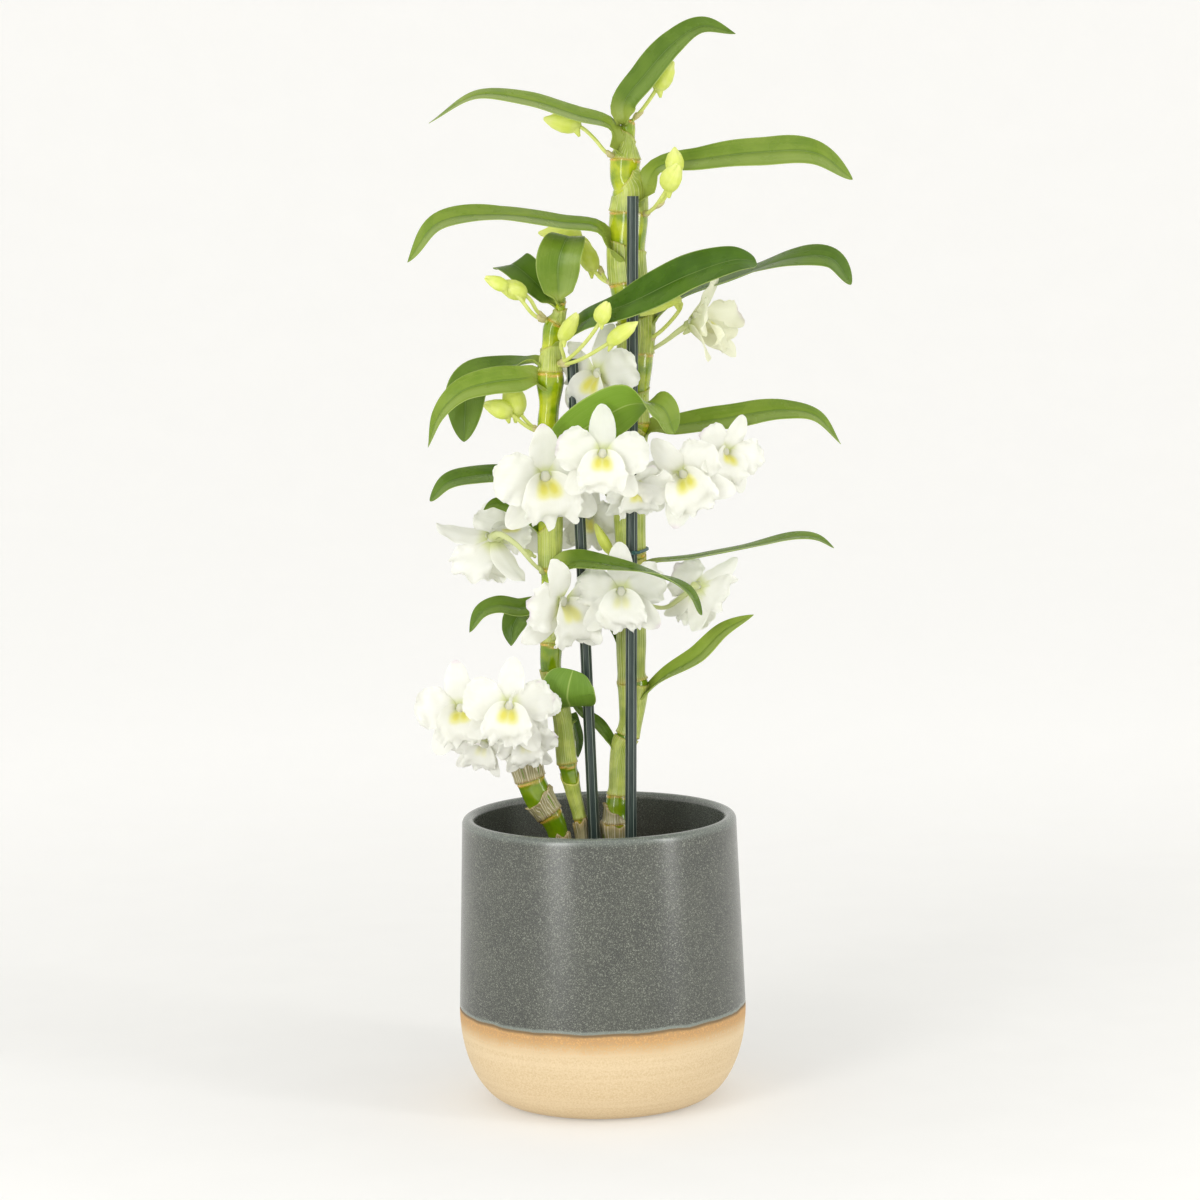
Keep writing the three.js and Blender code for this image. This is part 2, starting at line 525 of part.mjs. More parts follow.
function nurseryPot() {
  const segments = 24;
  const foot = POT_FLOOR + GAP;
  const rim = foot + NURSERY_HEIGHT;
  const floor = foot + NURSERY_WALL;
  const shell = solidOf(turned([
    [0, foot],
    [NURSERY_FOOT_RADIUS, foot],
    [NURSERY_RIM_RADIUS, rim - NURSERY_LIP * 2],
    [NURSERY_RIM_RADIUS + NURSERY_LIP, rim - NURSERY_LIP * 2],
    [NURSERY_RIM_RADIUS + NURSERY_LIP, rim],
    [NURSERY_RIM_RADIUS - NURSERY_WALL, rim],
    [NURSERY_FOOT_RADIUS - NURSERY_WALL, floor],
    [0, floor],
  ], segments));
  const holes = Array.from({ length: DRAIN_HOLES }, (_, index) => {
    const angle = ((index + 0.5) / DRAIN_HOLES) * Math.PI * 2;
    const drill = new THREE.CylinderGeometry(DRAIN_HOLE_RADIUS, DRAIN_HOLE_RADIUS, NURSERY_WALL * 4, 8);
    drill.rotateX(Math.PI / 2);
    drill.translate(DRAIN_HOLE_CIRCLE * Math.cos(angle), DRAIN_HOLE_CIRCLE * Math.sin(angle), foot);
    return solidOf(drill);
  });
  return shell.subtract(joined(holes));
}

// The bark fills the nursery pot, with loose chips lying half sunk in its top.
function barkMedium() {
  const segments = 24;
  const foot = POT_FLOOR + GAP + NURSERY_WALL + GAP;
  const clearance = GAP * 2;
  const plug = solidOf(turned([
    [0, foot],
    [nurseryInnerRadius(foot) - clearance, foot],
    [nurseryInnerRadius(BARK_TOP) - clearance, BARK_TOP],
    [0, BARK_TOP],
  ], segments));
  const chips = Array.from({ length: BARK_CHIPS }, (_, index) => {
    const angle = index * THREE.MathUtils.degToRad(GOLDEN_ANGLE);
    const distance = CHIP_SPREAD * Math.sqrt((index + 0.7) / BARK_CHIPS);
    const length = CHIP_LENGTH + (index % 3) * CHIP_GROWTH;
    const width = CHIP_WIDTH + (index % 2) * CHIP_GROWTH;
    const chip = new THREE.BoxGeometry(length, width, CHIP_THICKNESS);
    chip.rotateX(CHIP_TILT * Math.sin(index * 2));
    chip.rotateY(CHIP_TILT * Math.cos(index * 2));
    chip.rotateZ(index);
    chip.translate(distance * Math.cos(angle), distance * Math.sin(angle), BARK_TOP);
    return solidOf(chip);
  });
  return plug.add(joined(chips));
}

// ---------- canes, stakes and ties ----------

const CANE_SIDES = 8;
const STAKE_SIDES = 8;
const STAKE_STEPS = 5;
const TIE_SIDES = 4;
const TIE_STEPS = 18;

function caneSolid(name, extra = 0) {
  return solidOf(bar(CANES[name], CANE_SIDES, extra));
}

function stakeSolid(name, extra = 0) {
  const route = new THREE.CatmullRomCurve3(STAKES[name].map(vector));
  return solidOf(tube(route, STAKE_RADIUS + extra, STAKE_SIDES, STAKE_STEPS));
}

function tieSolid({ cane, caneRadius, stake, height, turn }) {
  const toStake = Math.atan2(stake[1] - cane[1], stake[0] - cane[0]);
  const around = (centre, radius, from, to, steps, rise) => Array.from({ length: steps + 1 }, (_, index) => {
    const angle = toStake + from + ((to - from) * index) / steps;
    const reach = radius + GAP + TIE_ROOM;
    return [centre[0] + reach * Math.cos(angle), centre[1] + reach * Math.sin(angle), height + rise * index];
  });
  const quarter = Math.PI / 2;
  const loop = [
    ...around(stake, STAKE_RADIUS, turn, quarter, 4, 0),
    ...around(cane, caneRadius, quarter + TIE_ENTRY, 3 * quarter - TIE_ENTRY, 5, 0.2),
    ...around(stake, STAKE_RADIUS, -quarter, turn - TIE_OVERLAP, 2, 0.5),
  ];
  const [startX, startY] = loop[0];
  const outX = startX - stake[0];
  const outY = startY - stake[1];
  const tail = [startX + outX, startY + outY, height + 0.5];
  const route = new THREE.CatmullRomCurve3([tail, ...loop].map(vector));
  return solidOf(tube(route, TIE_RADIUS, TIE_SIDES, TIE_STEPS));
}

// ---------- leaves, blooms and buds ----------

const LEAF_STEPS = 7;

// A blade is bent from a strip that is two cells wide, so that it can fold along its midrib.
function bladeSheet(form, steps, thickness) {
  const place = bladePlace(form, thickness);
  const strip = new THREE.PlaneGeometry(2, 1, 2, steps);
  return thickened(strip, (x, y, side) => place(x, THREE.MathUtils.clamp(y + 0.5, 0, 1), side));
}

// The blades of a full bloom, in degrees round its throat and millimetres from its axis.
// A blade leaves the throat at one elevation above the bloom's plane and ends at another. Spread is how
// far round the throat it reaches to either side of its midrib.
const NOTCH_RADIUS = 2.4;        // from the throat's axis to the notch between two blades
const SEPAL = {
  foot: NOTCH_RADIUS, reach: 26, width: 13, peak: 0.5, neck: 0.3, round: 0.55, fold: 0.1, rise: [22, -6],
  spread: 23,
};
const PETAL = {
  foot: NOTCH_RADIUS, reach: 25, width: 21, peak: 0.6, neck: 0.2, round: 0.5, fold: 0.08, rise: [18, -12],
  spread: 33,
};
const LIP = {
  foot: 0.8, reach: 23, width: 22, peak: 0.62, neck: 0.12, round: 0.5, fold: 0.45, rise: [62, -40],
};
const SHEET_BLADES = [
  { part: PETAL, angle: 17 }, { part: SEPAL, angle: 90 }, { part: PETAL, angle: 163 },
  { part: SEPAL, angle: 225 }, { part: SEPAL, angle: 315 },
];
const LIP_BLADE = { part: LIP, angle: 270 };
const LIP_STEPS = 3;
const COLUMN_LENGTH = 4;         // the column stands up in the throat
const OVARY_LENGTH = 3;          // and the ovary behind it
const STALK_RADIUS = 1;
const OVARY_RADIUS = 1.8;
const BLADE_LEAN = 0.3;          // how far a blade's upper side leans inwards over the throat

// The points round a blade, from its right edge over the tip to its left edge: how far across and along
// the blade each lies on its outline, and the same for the point inside it that the sheet bends over.
const BROAD_OUTLINE = [
  { edge: [0.85, 0.5], inside: [0.55, 0.32] },
  { edge: [1, 0.85], inside: [0.35, 0.5] },
  { edge: [0, 1], inside: [0, 0.55] },
  { edge: [-1, 0.85], inside: [-0.35, 0.5] },
  { edge: [-0.85, 0.5], inside: [-0.55, 0.32] },
];
const NARROW_OUTLINE = [
  { edge: [0.95, 0.6], inside: [0.6, 0.3] },
  { edge: [0, 1], inside: [0, 0.5] },
  { edge: [-0.95, 0.6], inside: [-0.6, 0.3] },
];

// The bloom's own frame as a matrix: x to its right, y to its top sepal and z the way it faces.
function bloomFrame({ throat, faces, top, size }) {
  const ahead = vector(faces).normalize();
  const right = new THREE.Vector3().crossVectors(vector(top), ahead).normalize();
  const up = new THREE.Vector3().crossVectors(ahead, right);
  return new THREE.Matrix4().makeBasis(right, up, ahead)
    .scale(new THREE.Vector3(size, size, size)).setPosition(vector(throat));
}

// A blade of a bloom as a form for bladePlace. Blades that are folded forward are narrower, so that
// they stay beside each other.
function bloomBlade({ part, angle }, cup) {
  const steps = 3;
  const turn = THREE.MathUtils.degToRad(angle);
  const route = [[part.foot * Math.cos(turn), part.foot * Math.sin(turn), 0]];
  const stride = (part.reach - part.foot) / steps;
  for (let step = 0; step < steps; step += 1) {
    const elevation = THREE.MathUtils.degToRad(THREE.MathUtils.lerp(...part.rise, step / (steps - 1)) + cup);
    const [x, y, z] = route[step];
    const outward = stride * Math.cos(elevation);
    route.push([x + outward * Math.cos(turn), y + outward * Math.sin(turn), z + stride * Math.sin(elevation)]);
  }
  const inward = [-Math.cos(turn) * BLADE_LEAN, -Math.sin(turn) * BLADE_LEAN, 1];
  const width = part.width * Math.cos(THREE.MathUtils.degToRad(cup)) ** 3;
  return { ...part, width, route, faces: [inward, inward] };
}

// The spokes of a bloom's sheet: a notch before each blade, then the points of the blade's outline.
function bloomSpokes(cup, sepalCup, thickness) {
  return SHEET_BLADES.flatMap((entry, index) => {
    const folded = entry.part === SEPAL ? sepalCup : cup;
    const place = bladePlace(bloomBlade(entry, folded), thickness);
    const before = SHEET_BLADES.at(index - 1);
    const lastEdge = before.angle + before.part.spread - (index === 0 ? 360 : 0);
    const firstEdge = entry.angle - entry.part.spread;
    const turn = THREE.MathUtils.degToRad((lastEdge + firstEdge) / 2);
    const notch = (share, side) => new THREE.Vector3(Math.cos(turn), Math.sin(turn), 0)
      .multiplyScalar(NOTCH_RADIUS * share).setZ(thickness * side);
    const outline = entry.part === SEPAL ? NARROW_OUTLINE : BROAD_OUTLINE;
    const edges = outline.map(({ edge, inside }) => (share, side) => (
      place(...(share < 1 ? inside : edge), side)));
    return [notch, ...edges];
  });
}

// The sepals and petals of a bloom as one closed sheet, reshaped from a disc of two rings. The disc's
// centre stands up in front as the column and behind as the ovary.
function bloomSheet({ cup, sepals = cup }, thickness) {
  const spokes = bloomSpokes(cup, sepals, thickness);
  const disc = new THREE.RingGeometry(0, 1, spokes.length, 2);
  return thickened(disc, (x, y, side) => {
    const share = Math.round(Math.hypot(x, y) * 2) / 2;
    if (share === 0) {
      return new THREE.Vector3(0, 0, side > 0 ? COLUMN_LENGTH : -OVARY_LENGTH);
    }
    const index = Math.round((Math.atan2(y, x) / (2 * Math.PI)) * spokes.length);
    return spokes.at(index % spokes.length)(share, side);
  });
}

function bloomSolid(bloom) {
  const frame = bloomFrame(bloom);
  const thickness = PETAL_THICKNESS / bloom.size;
  const sheet = bloomSheet(bloom, thickness).applyMatrix4(frame);
  const lip = bladeSheet(bloomBlade(LIP_BLADE, bloom.cup), LIP_STEPS, thickness).applyMatrix4(frame);
  const back = vector(bloom.throat).addScaledVector(vector(bloom.faces).normalize(), -OVARY_LENGTH / 2);
  const route = [...bloom.stalk, back.toArray()];
  const stalk = stationsAlong(route, 4, (share) => THREE.MathUtils.lerp(STALK_RADIUS, OVARY_RADIUS, share ** 2));
  return joined([solidOf(sheet), solidOf(lip), solidOf(bar(stalk, 5))]);
}

// A bud's radius along its length, beside its greatest, and the stalk's stations before it.
const BUD_SHARES = [0, 0.15, 0.45, 0.75, 1];
const BUD_SWELL = [0.35, 0.8, 1, 0.75, 0.1];
const BUD_TIP_RADIUS = 0.4;
const STALK_SHARES = [0, 0.33, 0.66];

function sprayStalkSolid({ route, bud: [budLength, budWidth] }) {
  const curve = new THREE.CatmullRomCurve3(route.map(vector));
  const length = curve.getLength();
  const budStart = 1 - budLength / length;
  const stations = STALK_SHARES.map((share) => [...curve.getPointAt(share * budStart).toArray(), STALK_RADIUS]);
  BUD_SHARES.forEach((share, index) => {
    const centre = curve.getPointAt(budStart + share * (1 - budStart)).toArray();
    stations.push([...centre, Math.max((budWidth / 2) * BUD_SWELL[index], BUD_TIP_RADIUS)]);
  });
  return solidOf(bar(stations, 6));
}

// ---------- the whole plant ----------

const plant = new THREE.Group();
plant.name = 'dendrobium_orchid';

function addPiece(name, geometry, finish) {
  const mesh = new THREE.Mesh(geometry, finish);
  mesh.name = name;
  plant.add(mesh);
}

const caneRoom = Object.fromEntries(Object.keys(CANES).map((name) => [name, caneSolid(name, GAP)]));
const allCaneRoom = joined(Object.values(caneRoom));
const stakeRoom = joined(Object.keys(STAKES).map((name) => stakeSolid(name, GAP)));
const standing = allCaneRoom.add(stakeRoom);

addPiece('cover_pot', coverPot(), STONEWARE);
addPiece('nursery_pot', geometryOf(nurseryPot()), NURSERY_PLASTIC);
addPiece('bark_medium', geometryOf(largest(barkMedium().subtract(standing))), BARK);

for (const name of Object.keys(CANES)) {
  addPiece(name, geometryOf(caneSolid(name)), CANE_GREEN);
}
for (const name of Object.keys(STAKES)) {
  addPiece(name, geometryOf(stakeSolid(name)), STAKE_PLASTIC);
}
for (const [name, tie] of Object.entries(TIES)) {
  addPiece(name, geometryOf(tieSolid(tie)), TIE_WIRE);
}
for (const [name, leaf] of Object.entries(LEAVES)) {
  const blade = solidOf(bladeSheet(leaf, LEAF_STEPS, LEAF_THICKNESS));
  addPiece(name, geometryOf(largest(blade.subtract(caneRoom[leaf.cane]))), LEAF_GREEN);
}
for (const [name, blooms] of Object.entries(BLOOMS)) {
  const bunch = joined(blooms.map(bloomSolid));
  addPiece(name, geometryOf(largest(bunch.subtract(allCaneRoom))), PETAL_WHITE);
}
for (const [name, spray] of Object.entries(SPRAYS)) {
  const bunch = joined(spray.stalks.map(sprayStalkSolid));
  addPiece(name, geometryOf(largest(bunch.subtract(caneRoom[spray.cane]))), BUD_GREEN);
}

export default plant;
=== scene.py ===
"""A potted dendrobium orchid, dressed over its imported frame.

Three leafy canes tied to two stakes carry white blooms and buds. They grow in bark in a plastic
nursery pot that stands inside a stoneware cover pot. Sizes are in millimetres until a mesh is made.
"""

import math

import bpy
import numpy as np
from mathutils import Matrix


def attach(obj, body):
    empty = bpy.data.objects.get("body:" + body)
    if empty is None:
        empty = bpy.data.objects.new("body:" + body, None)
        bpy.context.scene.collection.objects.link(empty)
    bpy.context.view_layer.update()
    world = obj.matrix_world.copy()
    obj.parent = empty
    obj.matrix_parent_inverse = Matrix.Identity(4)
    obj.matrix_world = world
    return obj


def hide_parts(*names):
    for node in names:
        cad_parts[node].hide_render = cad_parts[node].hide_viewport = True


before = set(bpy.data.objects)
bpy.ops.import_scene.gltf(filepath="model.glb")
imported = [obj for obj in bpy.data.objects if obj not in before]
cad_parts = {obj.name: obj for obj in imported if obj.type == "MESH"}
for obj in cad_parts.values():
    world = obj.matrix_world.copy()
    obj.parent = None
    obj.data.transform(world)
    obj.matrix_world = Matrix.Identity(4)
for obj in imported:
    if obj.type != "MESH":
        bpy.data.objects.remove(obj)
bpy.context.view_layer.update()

MM = 0.001
TURN = 2 * math.pi
SEED = 11

# ---------- the sizes and routes that the solids were built from ----------

POT_HEIGHT = 143
POT_BELLY_RADIUS = 71.5
POT_RIM_RADIUS = 68.2
POT_FOOT_RADIUS = 46
POT_BELLY_HEIGHT = 46
POT_WALL = 6.2
POT_FLOOR = 8
POT_INNER_CORNER = 18
GLAZE_LINE = 48                  # height of the glaze's lower edge

NURSERY_FOOT = 8.3
NURSERY_FOOT_RADIUS = 42
NURSERY_RIM_RADIUS = 57.5
NURSERY_HEIGHT = 104
NURSERY_WALL = 1.4
NURSERY_LIP = 2.2
DRAIN_HOLE_RADIUS = 4.5
DRAIN_HOLE_CIRCLE = 28
DRAIN_HOLES = 4
BARK_FOOT = 10
BARK_TOP = 103

STAKE_RADIUS = 2.8
TIE_RADIUS = 0.7

# Each cane's course from the bark up: across, how high, and its radius there. It keeps one depth.
CANE_DEPTHS = {"cane_tall": 4, "cane_middle": 0, "cane_short": -3}
CANES = {
    "cane_tall": [
        (9, 84, 3), (9, 100, 5), (8.5, 122, 6.4), (8.5, 135, 7.6), (8.5, 142, 5.8), (9, 150, 5.5),
        (9.5, 154, 4.2), (12, 177, 4.8), (14.5, 181, 5.7), (16.5, 188, 5.2), (18, 206, 7.4),
        (18, 208, 8), (17.5, 211, 6.4), (17.5, 229, 7.1), (18, 250, 6.6), (19, 269, 5.9),
        (18.5, 273, 6.9), (18, 302, 7.8), (21, 334, 6.2), (21.5, 337, 6.9), (22, 349, 5.7),
        (22, 366, 8.6), (22.5, 389, 9.3), (19.5, 406, 9.5), (18.5, 422, 9.2), (20, 438, 9.6),
        (20.5, 453, 8.1), (18.5, 458, 7), (19, 467, 7.6), (20, 475, 3.5), (20.5, 483, 3.7),
        (20.5, 486, 2.6),
    ],
    "cane_middle": [
        (-6, 84, 2), (-8, 110, 2.6), (-9.5, 140, 2.8), (-12.5, 154, 3.4), (-15, 167, 4.4),
        (-15.5, 170, 4.8), (-17.5, 193, 4.3), (-20.5, 206, 4.9), (-22.5, 217, 5.1), (-22, 230, 5.6),
        (-21.5, 246, 5.2), (-22, 264, 4.2), (-22, 268, 5.4), (-21.5, 286, 5.9), (-21.5, 306, 5.3),
        (-20.5, 330, 4.4), (-21.5, 337, 5.2), (-20.5, 348, 4.9), (-20, 360, 7.3), (-20, 364, 5.9),
        (-19, 377, 4.4), (-17.5, 386, 5.3), (-15.5, 390, 3.3), (-14, 396, 2.3), (-13.5, 400, 2),
    ],
    "cane_short": [
        (-14, 84, 3), (-17, 112, 4.2), (-20.5, 133, 4.9), (-22.5, 140, 5.6), (-29, 151, 7.4),
        (-33.5, 161, 7), (-36, 171, 8.2), (-38, 183, 7.4), (-39.5, 192, 5.4), (-40, 197, 3),
    ],
}

# The rings at each cane's nodes, by height.
NODE_RINGS = {
    "cane_tall": (137, 151, 271, 337, 371, 406, 440, 466, 484),
    "cane_middle": (140, 168, 229, 266, 336, 363, 388, 398),
    "cane_short": (143, 161, 188),
}

# Each cane's sheaths: from and to which height one covers it, how dry and grey it is (0 to 1), how
# much its mouth slants, and which way round the cane its high side lies (degrees from the right).
SHEATHS = {
    "cane_tall": [
        (84, 137, 0.9, 1, 180), (138, 143, 1, 5, 190), (152, 181, 0.1, 1, 0), (182, 208, 0.12, 1, 180),
        (209, 270, 0.25, 2, 0), (272, 336, 0.2, 2, 180), (338, 352, 0.3, 3, 0), (372, 389, 0.35, 2, 0),
        (407, 425, 0.3, 3, 180), (441, 456, 0.3, 4, 0), (467, 479, 0.2, 3, 180),
    ],
    "cane_middle": [
        (84, 140, 0.8, 1, 0), (141, 163, 0.1, 4.5, 90), (169, 215, 0.08, 2, 180),
        (230, 247, 0.35, 3, 0), (267, 290, 0.3, 5, 0), (292, 335, 0.2, 3, 180), (364, 377, 0.3, 3, 0),
        (388, 394, 0.3, 1, 0),
    ],
    "cane_short": [
        (84, 133, 1, 1, 0), (144, 153, 1, 2.5, 0), (162, 190, 1, 2, 0),
    ],
}

# Each stake's course from its foot up.
STAKES = {
    "stake_right": [(13.5, -9, 26), (15.6, -9, 138), (22.2, -9, 449)],
    "stake_left": [(0, -2, 26), (-2.8, -2, 138), (-6, -2, 265), (-8.8, -2, 370)],
}

# Each tie: the cane and the stake that it holds, its height, and how far round its ends are twisted.
TIES = {
    "tie_right": dict(cane=(18.5, 4), cane_radius=6.9, stake=(18.5, -9), height=275, turn=0.1),
    "tie_left": dict(cane=(-21.6, 0), cane_radius=5.7, stake=(-7, -2), height=303, turn=-0.9),
}

# Each leaf: its width, where along it that is (peak), its foot's width beside it (neck), how its tip
# ends (round, blunter below 0.5), how light its green is (partly its own tone, partly painted light:
# the lighter, greyer greens paint the sheen of leaves that catch the light), how far its halves fold up
# where that isn't LEAF_FOLD, which ways its upper side faces from foot to tip, and its midrib's route from
# the cane.
LEAVES = {
    "leaf_top": dict(
        width=18, peak=0.42, neck=0.6, round=0.8, light=0.35, faces=[(-0.5, -0.8, 0.35), (0, -0.65, 0.75)],
        route=[(20.5, 4, 484), (19, 0, 494), (29, -6, 507), (43, -12, 522), (57, -16, 530),
               (73, -16, 526)]),
    "leaf_upper_left": dict(
        width=19, peak=0.4, neck=0.5, round=0.9, light=0.85,
        faces=[(0, -0.5, 0.85), (0, -0.4, 0.9), (0, -0.25, 0.97)],
        route=[(19, 2, 472), (12, -4, 483), (-3, -9, 488), (-27, -13, 496), (-52, -12, 499),
               (-76, -8, 486)]),
    "leaf_right_high": dict(
        width=21, peak=0.68, neck=0.45, round=0.7, light=0.7,
        faces=[(0, -0.5, 0.85), (0, -0.6, 0.8), (0.2, -0.7, 0.7)],
        route=[(24, 3, 449), (34, -4, 462), (55, -10, 466), (84, -14, 469), (111, -14, 468),
               (129, -9, 455)]),
    "leaf_left_high": dict(
        width=19, peak=0.66, neck=0.48, round=0.8, light=0.75,
        faces=[(0, -0.5, 0.85), (0, -0.32, 0.95), (-0.3, -0.65, 0.7)],
        route=[(15, 2, 424), (5, -6, 434), (-13, -10, 437), (-40, -13, 441), (-72, -13, 438),
               (-88, -8, 419)]),
    "leaf_long_front": dict(
        width=26, peak=0.68, neck=0.4, round=0.38, light=0.12, faces=[(0, -0.6, 0.8), (0, -0.6, 0.8)],
        route=[(-17, -1, 379), (-2, -11, 389), (20, -21, 398), (48, -26, 411), (71, -27, 418),
               (81, -24, 417)]),
    "leaf_right_mid": dict(
        width=20, peak=0.75, neck=0.35, round=0.6, light=0.3,
        faces=[(0, -0.1, 1), (0, -0.2, 1), (0.5, -0.7, 0.6)],
        route=[(22, 4, 388), (44, 5, 398), (69, 1, 407), (98, -6, 417), (118, -8, 417), (128, -6, 404)]),
    "leaf_crown": dict(
        width=22, peak=0.5, neck=0.28, round=0.5, fold=0.15, light=0.62, faces=[(0, -1, 0.1), (0, -0.3, 1)],
        route=[(-14, 0, 398), (-15, -3, 408), (-14.5, -5, 418), (-12, -3, 425.5), (-9.5, 3, 429.5),
               (-7.5, 11, 428)]),
    "leaf_crown_left": dict(
        width=20, peak=0.72, neck=0.3, round=0.36, fold=0.15, light=0.22,
        faces=[(0.2, -0.8, 0.6), (0, -0.5, 0.9)],
        route=[(-14, 1, 396), (-22, 4, 403), (-29, 6, 410), (-37, 10, 416), (-41, 18, 414)]),
    "leaf_left_front": dict(
        width=16.5, peak=0.35, neck=0.5, round=0.9, fold=0.15, light=0.75,
        faces=[(0, -0.8, 0.5), (-0.6, -0.5, 0.5)],
        route=[(-21, -1, 361), (-35, -9, 361), (-49, -14, 360), (-63, -16, 356), (-74, -16, 345),
               (-80, -14, 329)]),
    "leaf_left_back": dict(
        width=24, peak=0.58, neck=0.3, round=0.7, light=0.35, faces=[(0, -0.15, 1), (-0.4, -0.9, 0.2)],
        route=[(-21, 2, 368), (-42, 6, 366), (-56, 3, 362), (-61, 1, 354), (-62, 0, 344), (-63, 1, 330)]),
    "leaf_left_short": dict(
        width=17, peak=0.5, neck=0.4, round=0.6, light=0.3, faces=[(0, -0.4, 0.9), (-0.3, -0.6, 0.8)],
        route=[(-22, 0, 311), (-42, -4, 314), (-58, -8, 314), (-71, -10, 311), (-80, -8, 302)]),
    "leaf_left_small": dict(
        width=9, peak=0.5, neck=0.5, round=0.7, light=0.4, faces=[(0, -0.5, 0.8), (-0.6, -0.6, 0.3)],
        route=[(-22, 1, 287), (-33, 3, 293), (-42, 4, 298), (-49, 4, 299), (-54, 3, 296)]),
    "leaf_centre": dict(
        width=26, peak=0.5, neck=0.3, round=0.5, fold=0.1, light=0.7,
        faces=[(0, 1, 0.2), (0, 1, 0.2), (0, 1, 0.3), (0.2, 0.7, 0.7), (0.7, -0.6, 0.4), (0.6, -0.8, 0)],
        route=[(-20, -3, 326), (-10, -16, 333), (4, -24, 342), (20, -30, 350), (34, -33, 348),
               (40, -29, 335)]),
    "leaf_right_low": dict(
        width=19, peak=0.5, neck=0.5, round=0.9, light=0.7,
        faces=[(0, -0.6, 0.8), (0, -0.6, 0.8), (0.2, -0.3, 0.9)],
        route=[(22, 4, 334), (43, 3, 336), (65, 1, 339), (95, -4, 343), (110, -6, 340), (122, -6, 326)]),
    "leaf_right_thin": dict(
        width=15, peak=0.6, neck=0.35, round=0.7, light=0.5,
        faces=[(0, -0.1, 1), (0, -0.1, 1), (0.3, -0.3, 0.9)],
        route=[(19, 4, 267), (52, 2, 271), (82, -4, 277), (101, -7, 281), (110, -8, 280), (118, -8, 275)]),
    "leaf_centre_low": dict(
        width=15.5, peak=0.6, neck=1, round=0.6, light=0.35,
        faces=[(0.1, -0.95, 0.35), (0, -0.35, 0.95), (0.2, 0.1, 1), (0.8, -0.7, 0.4)],
        route=[(-22, -2, 265), (-9, -16, 272), (9, -30, 271), (29, -34, 267), (46, -34, 258),
               (52, -30, 246)]),
    "leaf_right_base": dict(
        width=13, peak=0.55, neck=0.4, round=0.8, fold=0.3, light=0.85,
        faces=[(-0.6, -0.3, 0.7), (-0.4, -0.6, 0.65), (-0.3, -0.6, 0.7)],
        route=[(18, 4, 204), (34, -1, 212), (50, -6, 222), (63, -9, 235), (78, -10, 243)]),
    "leaf_left_low": dict(
        width=14, peak=0.45, neck=0.6, round=0.8, light=0.35, faces=[(0, -0.5, 0.85), (-0.5, -0.6, 0.5)],
        route=[(-22, -1, 248), (-37, -6, 248), (-48, -10, 250), (-56, -12, 247), (-62, -11, 237)]),
    "leaf_left_folded": dict(
        width=17, peak=0.45, neck=0.5, round=0.85, light=0.3, faces=[(0, -0.3, 0.9), (-0.5, -0.85, 0.2)],
        route=[(-22, 2, 240), (-31, 5, 244), (-37.5, 4, 243), (-41, 3, 237), (-42, 2, 228)]),
    "leaf_round": dict(
        width=27.5, peak=0.6, neck=0.3, round=0.3, fold=0.2, light=0.22,
        faces=[(0, 0.2, 1), (0, 0.7, 0.7), (0, 1, 0.2), (0, 1, 0)],
        route=[(-13.5, -4, 198), (-13.5, -12, 200), (-14.5, -18, 205), (-13.5, -20, 212),
               (-11.5, -19, 218.5)]),
    "leaf_cross": dict(
        width=8, peak=0.5, neck=0.6, round=0.8, light=0.3, faces=[(0.3, -0.6, 0.7), (0.3, -0.6, 0.7)],
        route=[(14, 4, 178), (1, 5, 187), (-7, 8, 193), (-13, 12, 198)]),
    "leaf_curled": dict(
        width=8, peak=0.5, neck=0.6, round=0.7, light=0.2, faces=[(0.8, -0.5, 0.3), (0.8, -0.6, 0)],
        route=[(-17, 1, 192), (-11, 3, 187), (-9.5, 4, 180), (-10, 4, 171)]),
    "leaf_back_high": dict(
        width=9, peak=0.5, neck=0.5, round=0.7, light=0.2, faces=[(0, -0.6, 0.8), (0, -0.4, 0.9)],
        route=[(18, 5, 297), (9, 14, 303), (3, 21, 305), (-2, 31, 303)]),
    "leaf_back_low": dict(
        width=9, peak=0.5, neck=0.5, round=0.7, light=0.3, faces=[(0, -0.6, 0.8), (0, -0.5, 0.8)],
        route=[(17, 5, 232), (8, 13, 239), (1, 19, 242), (-4, 28, 238)]),
}

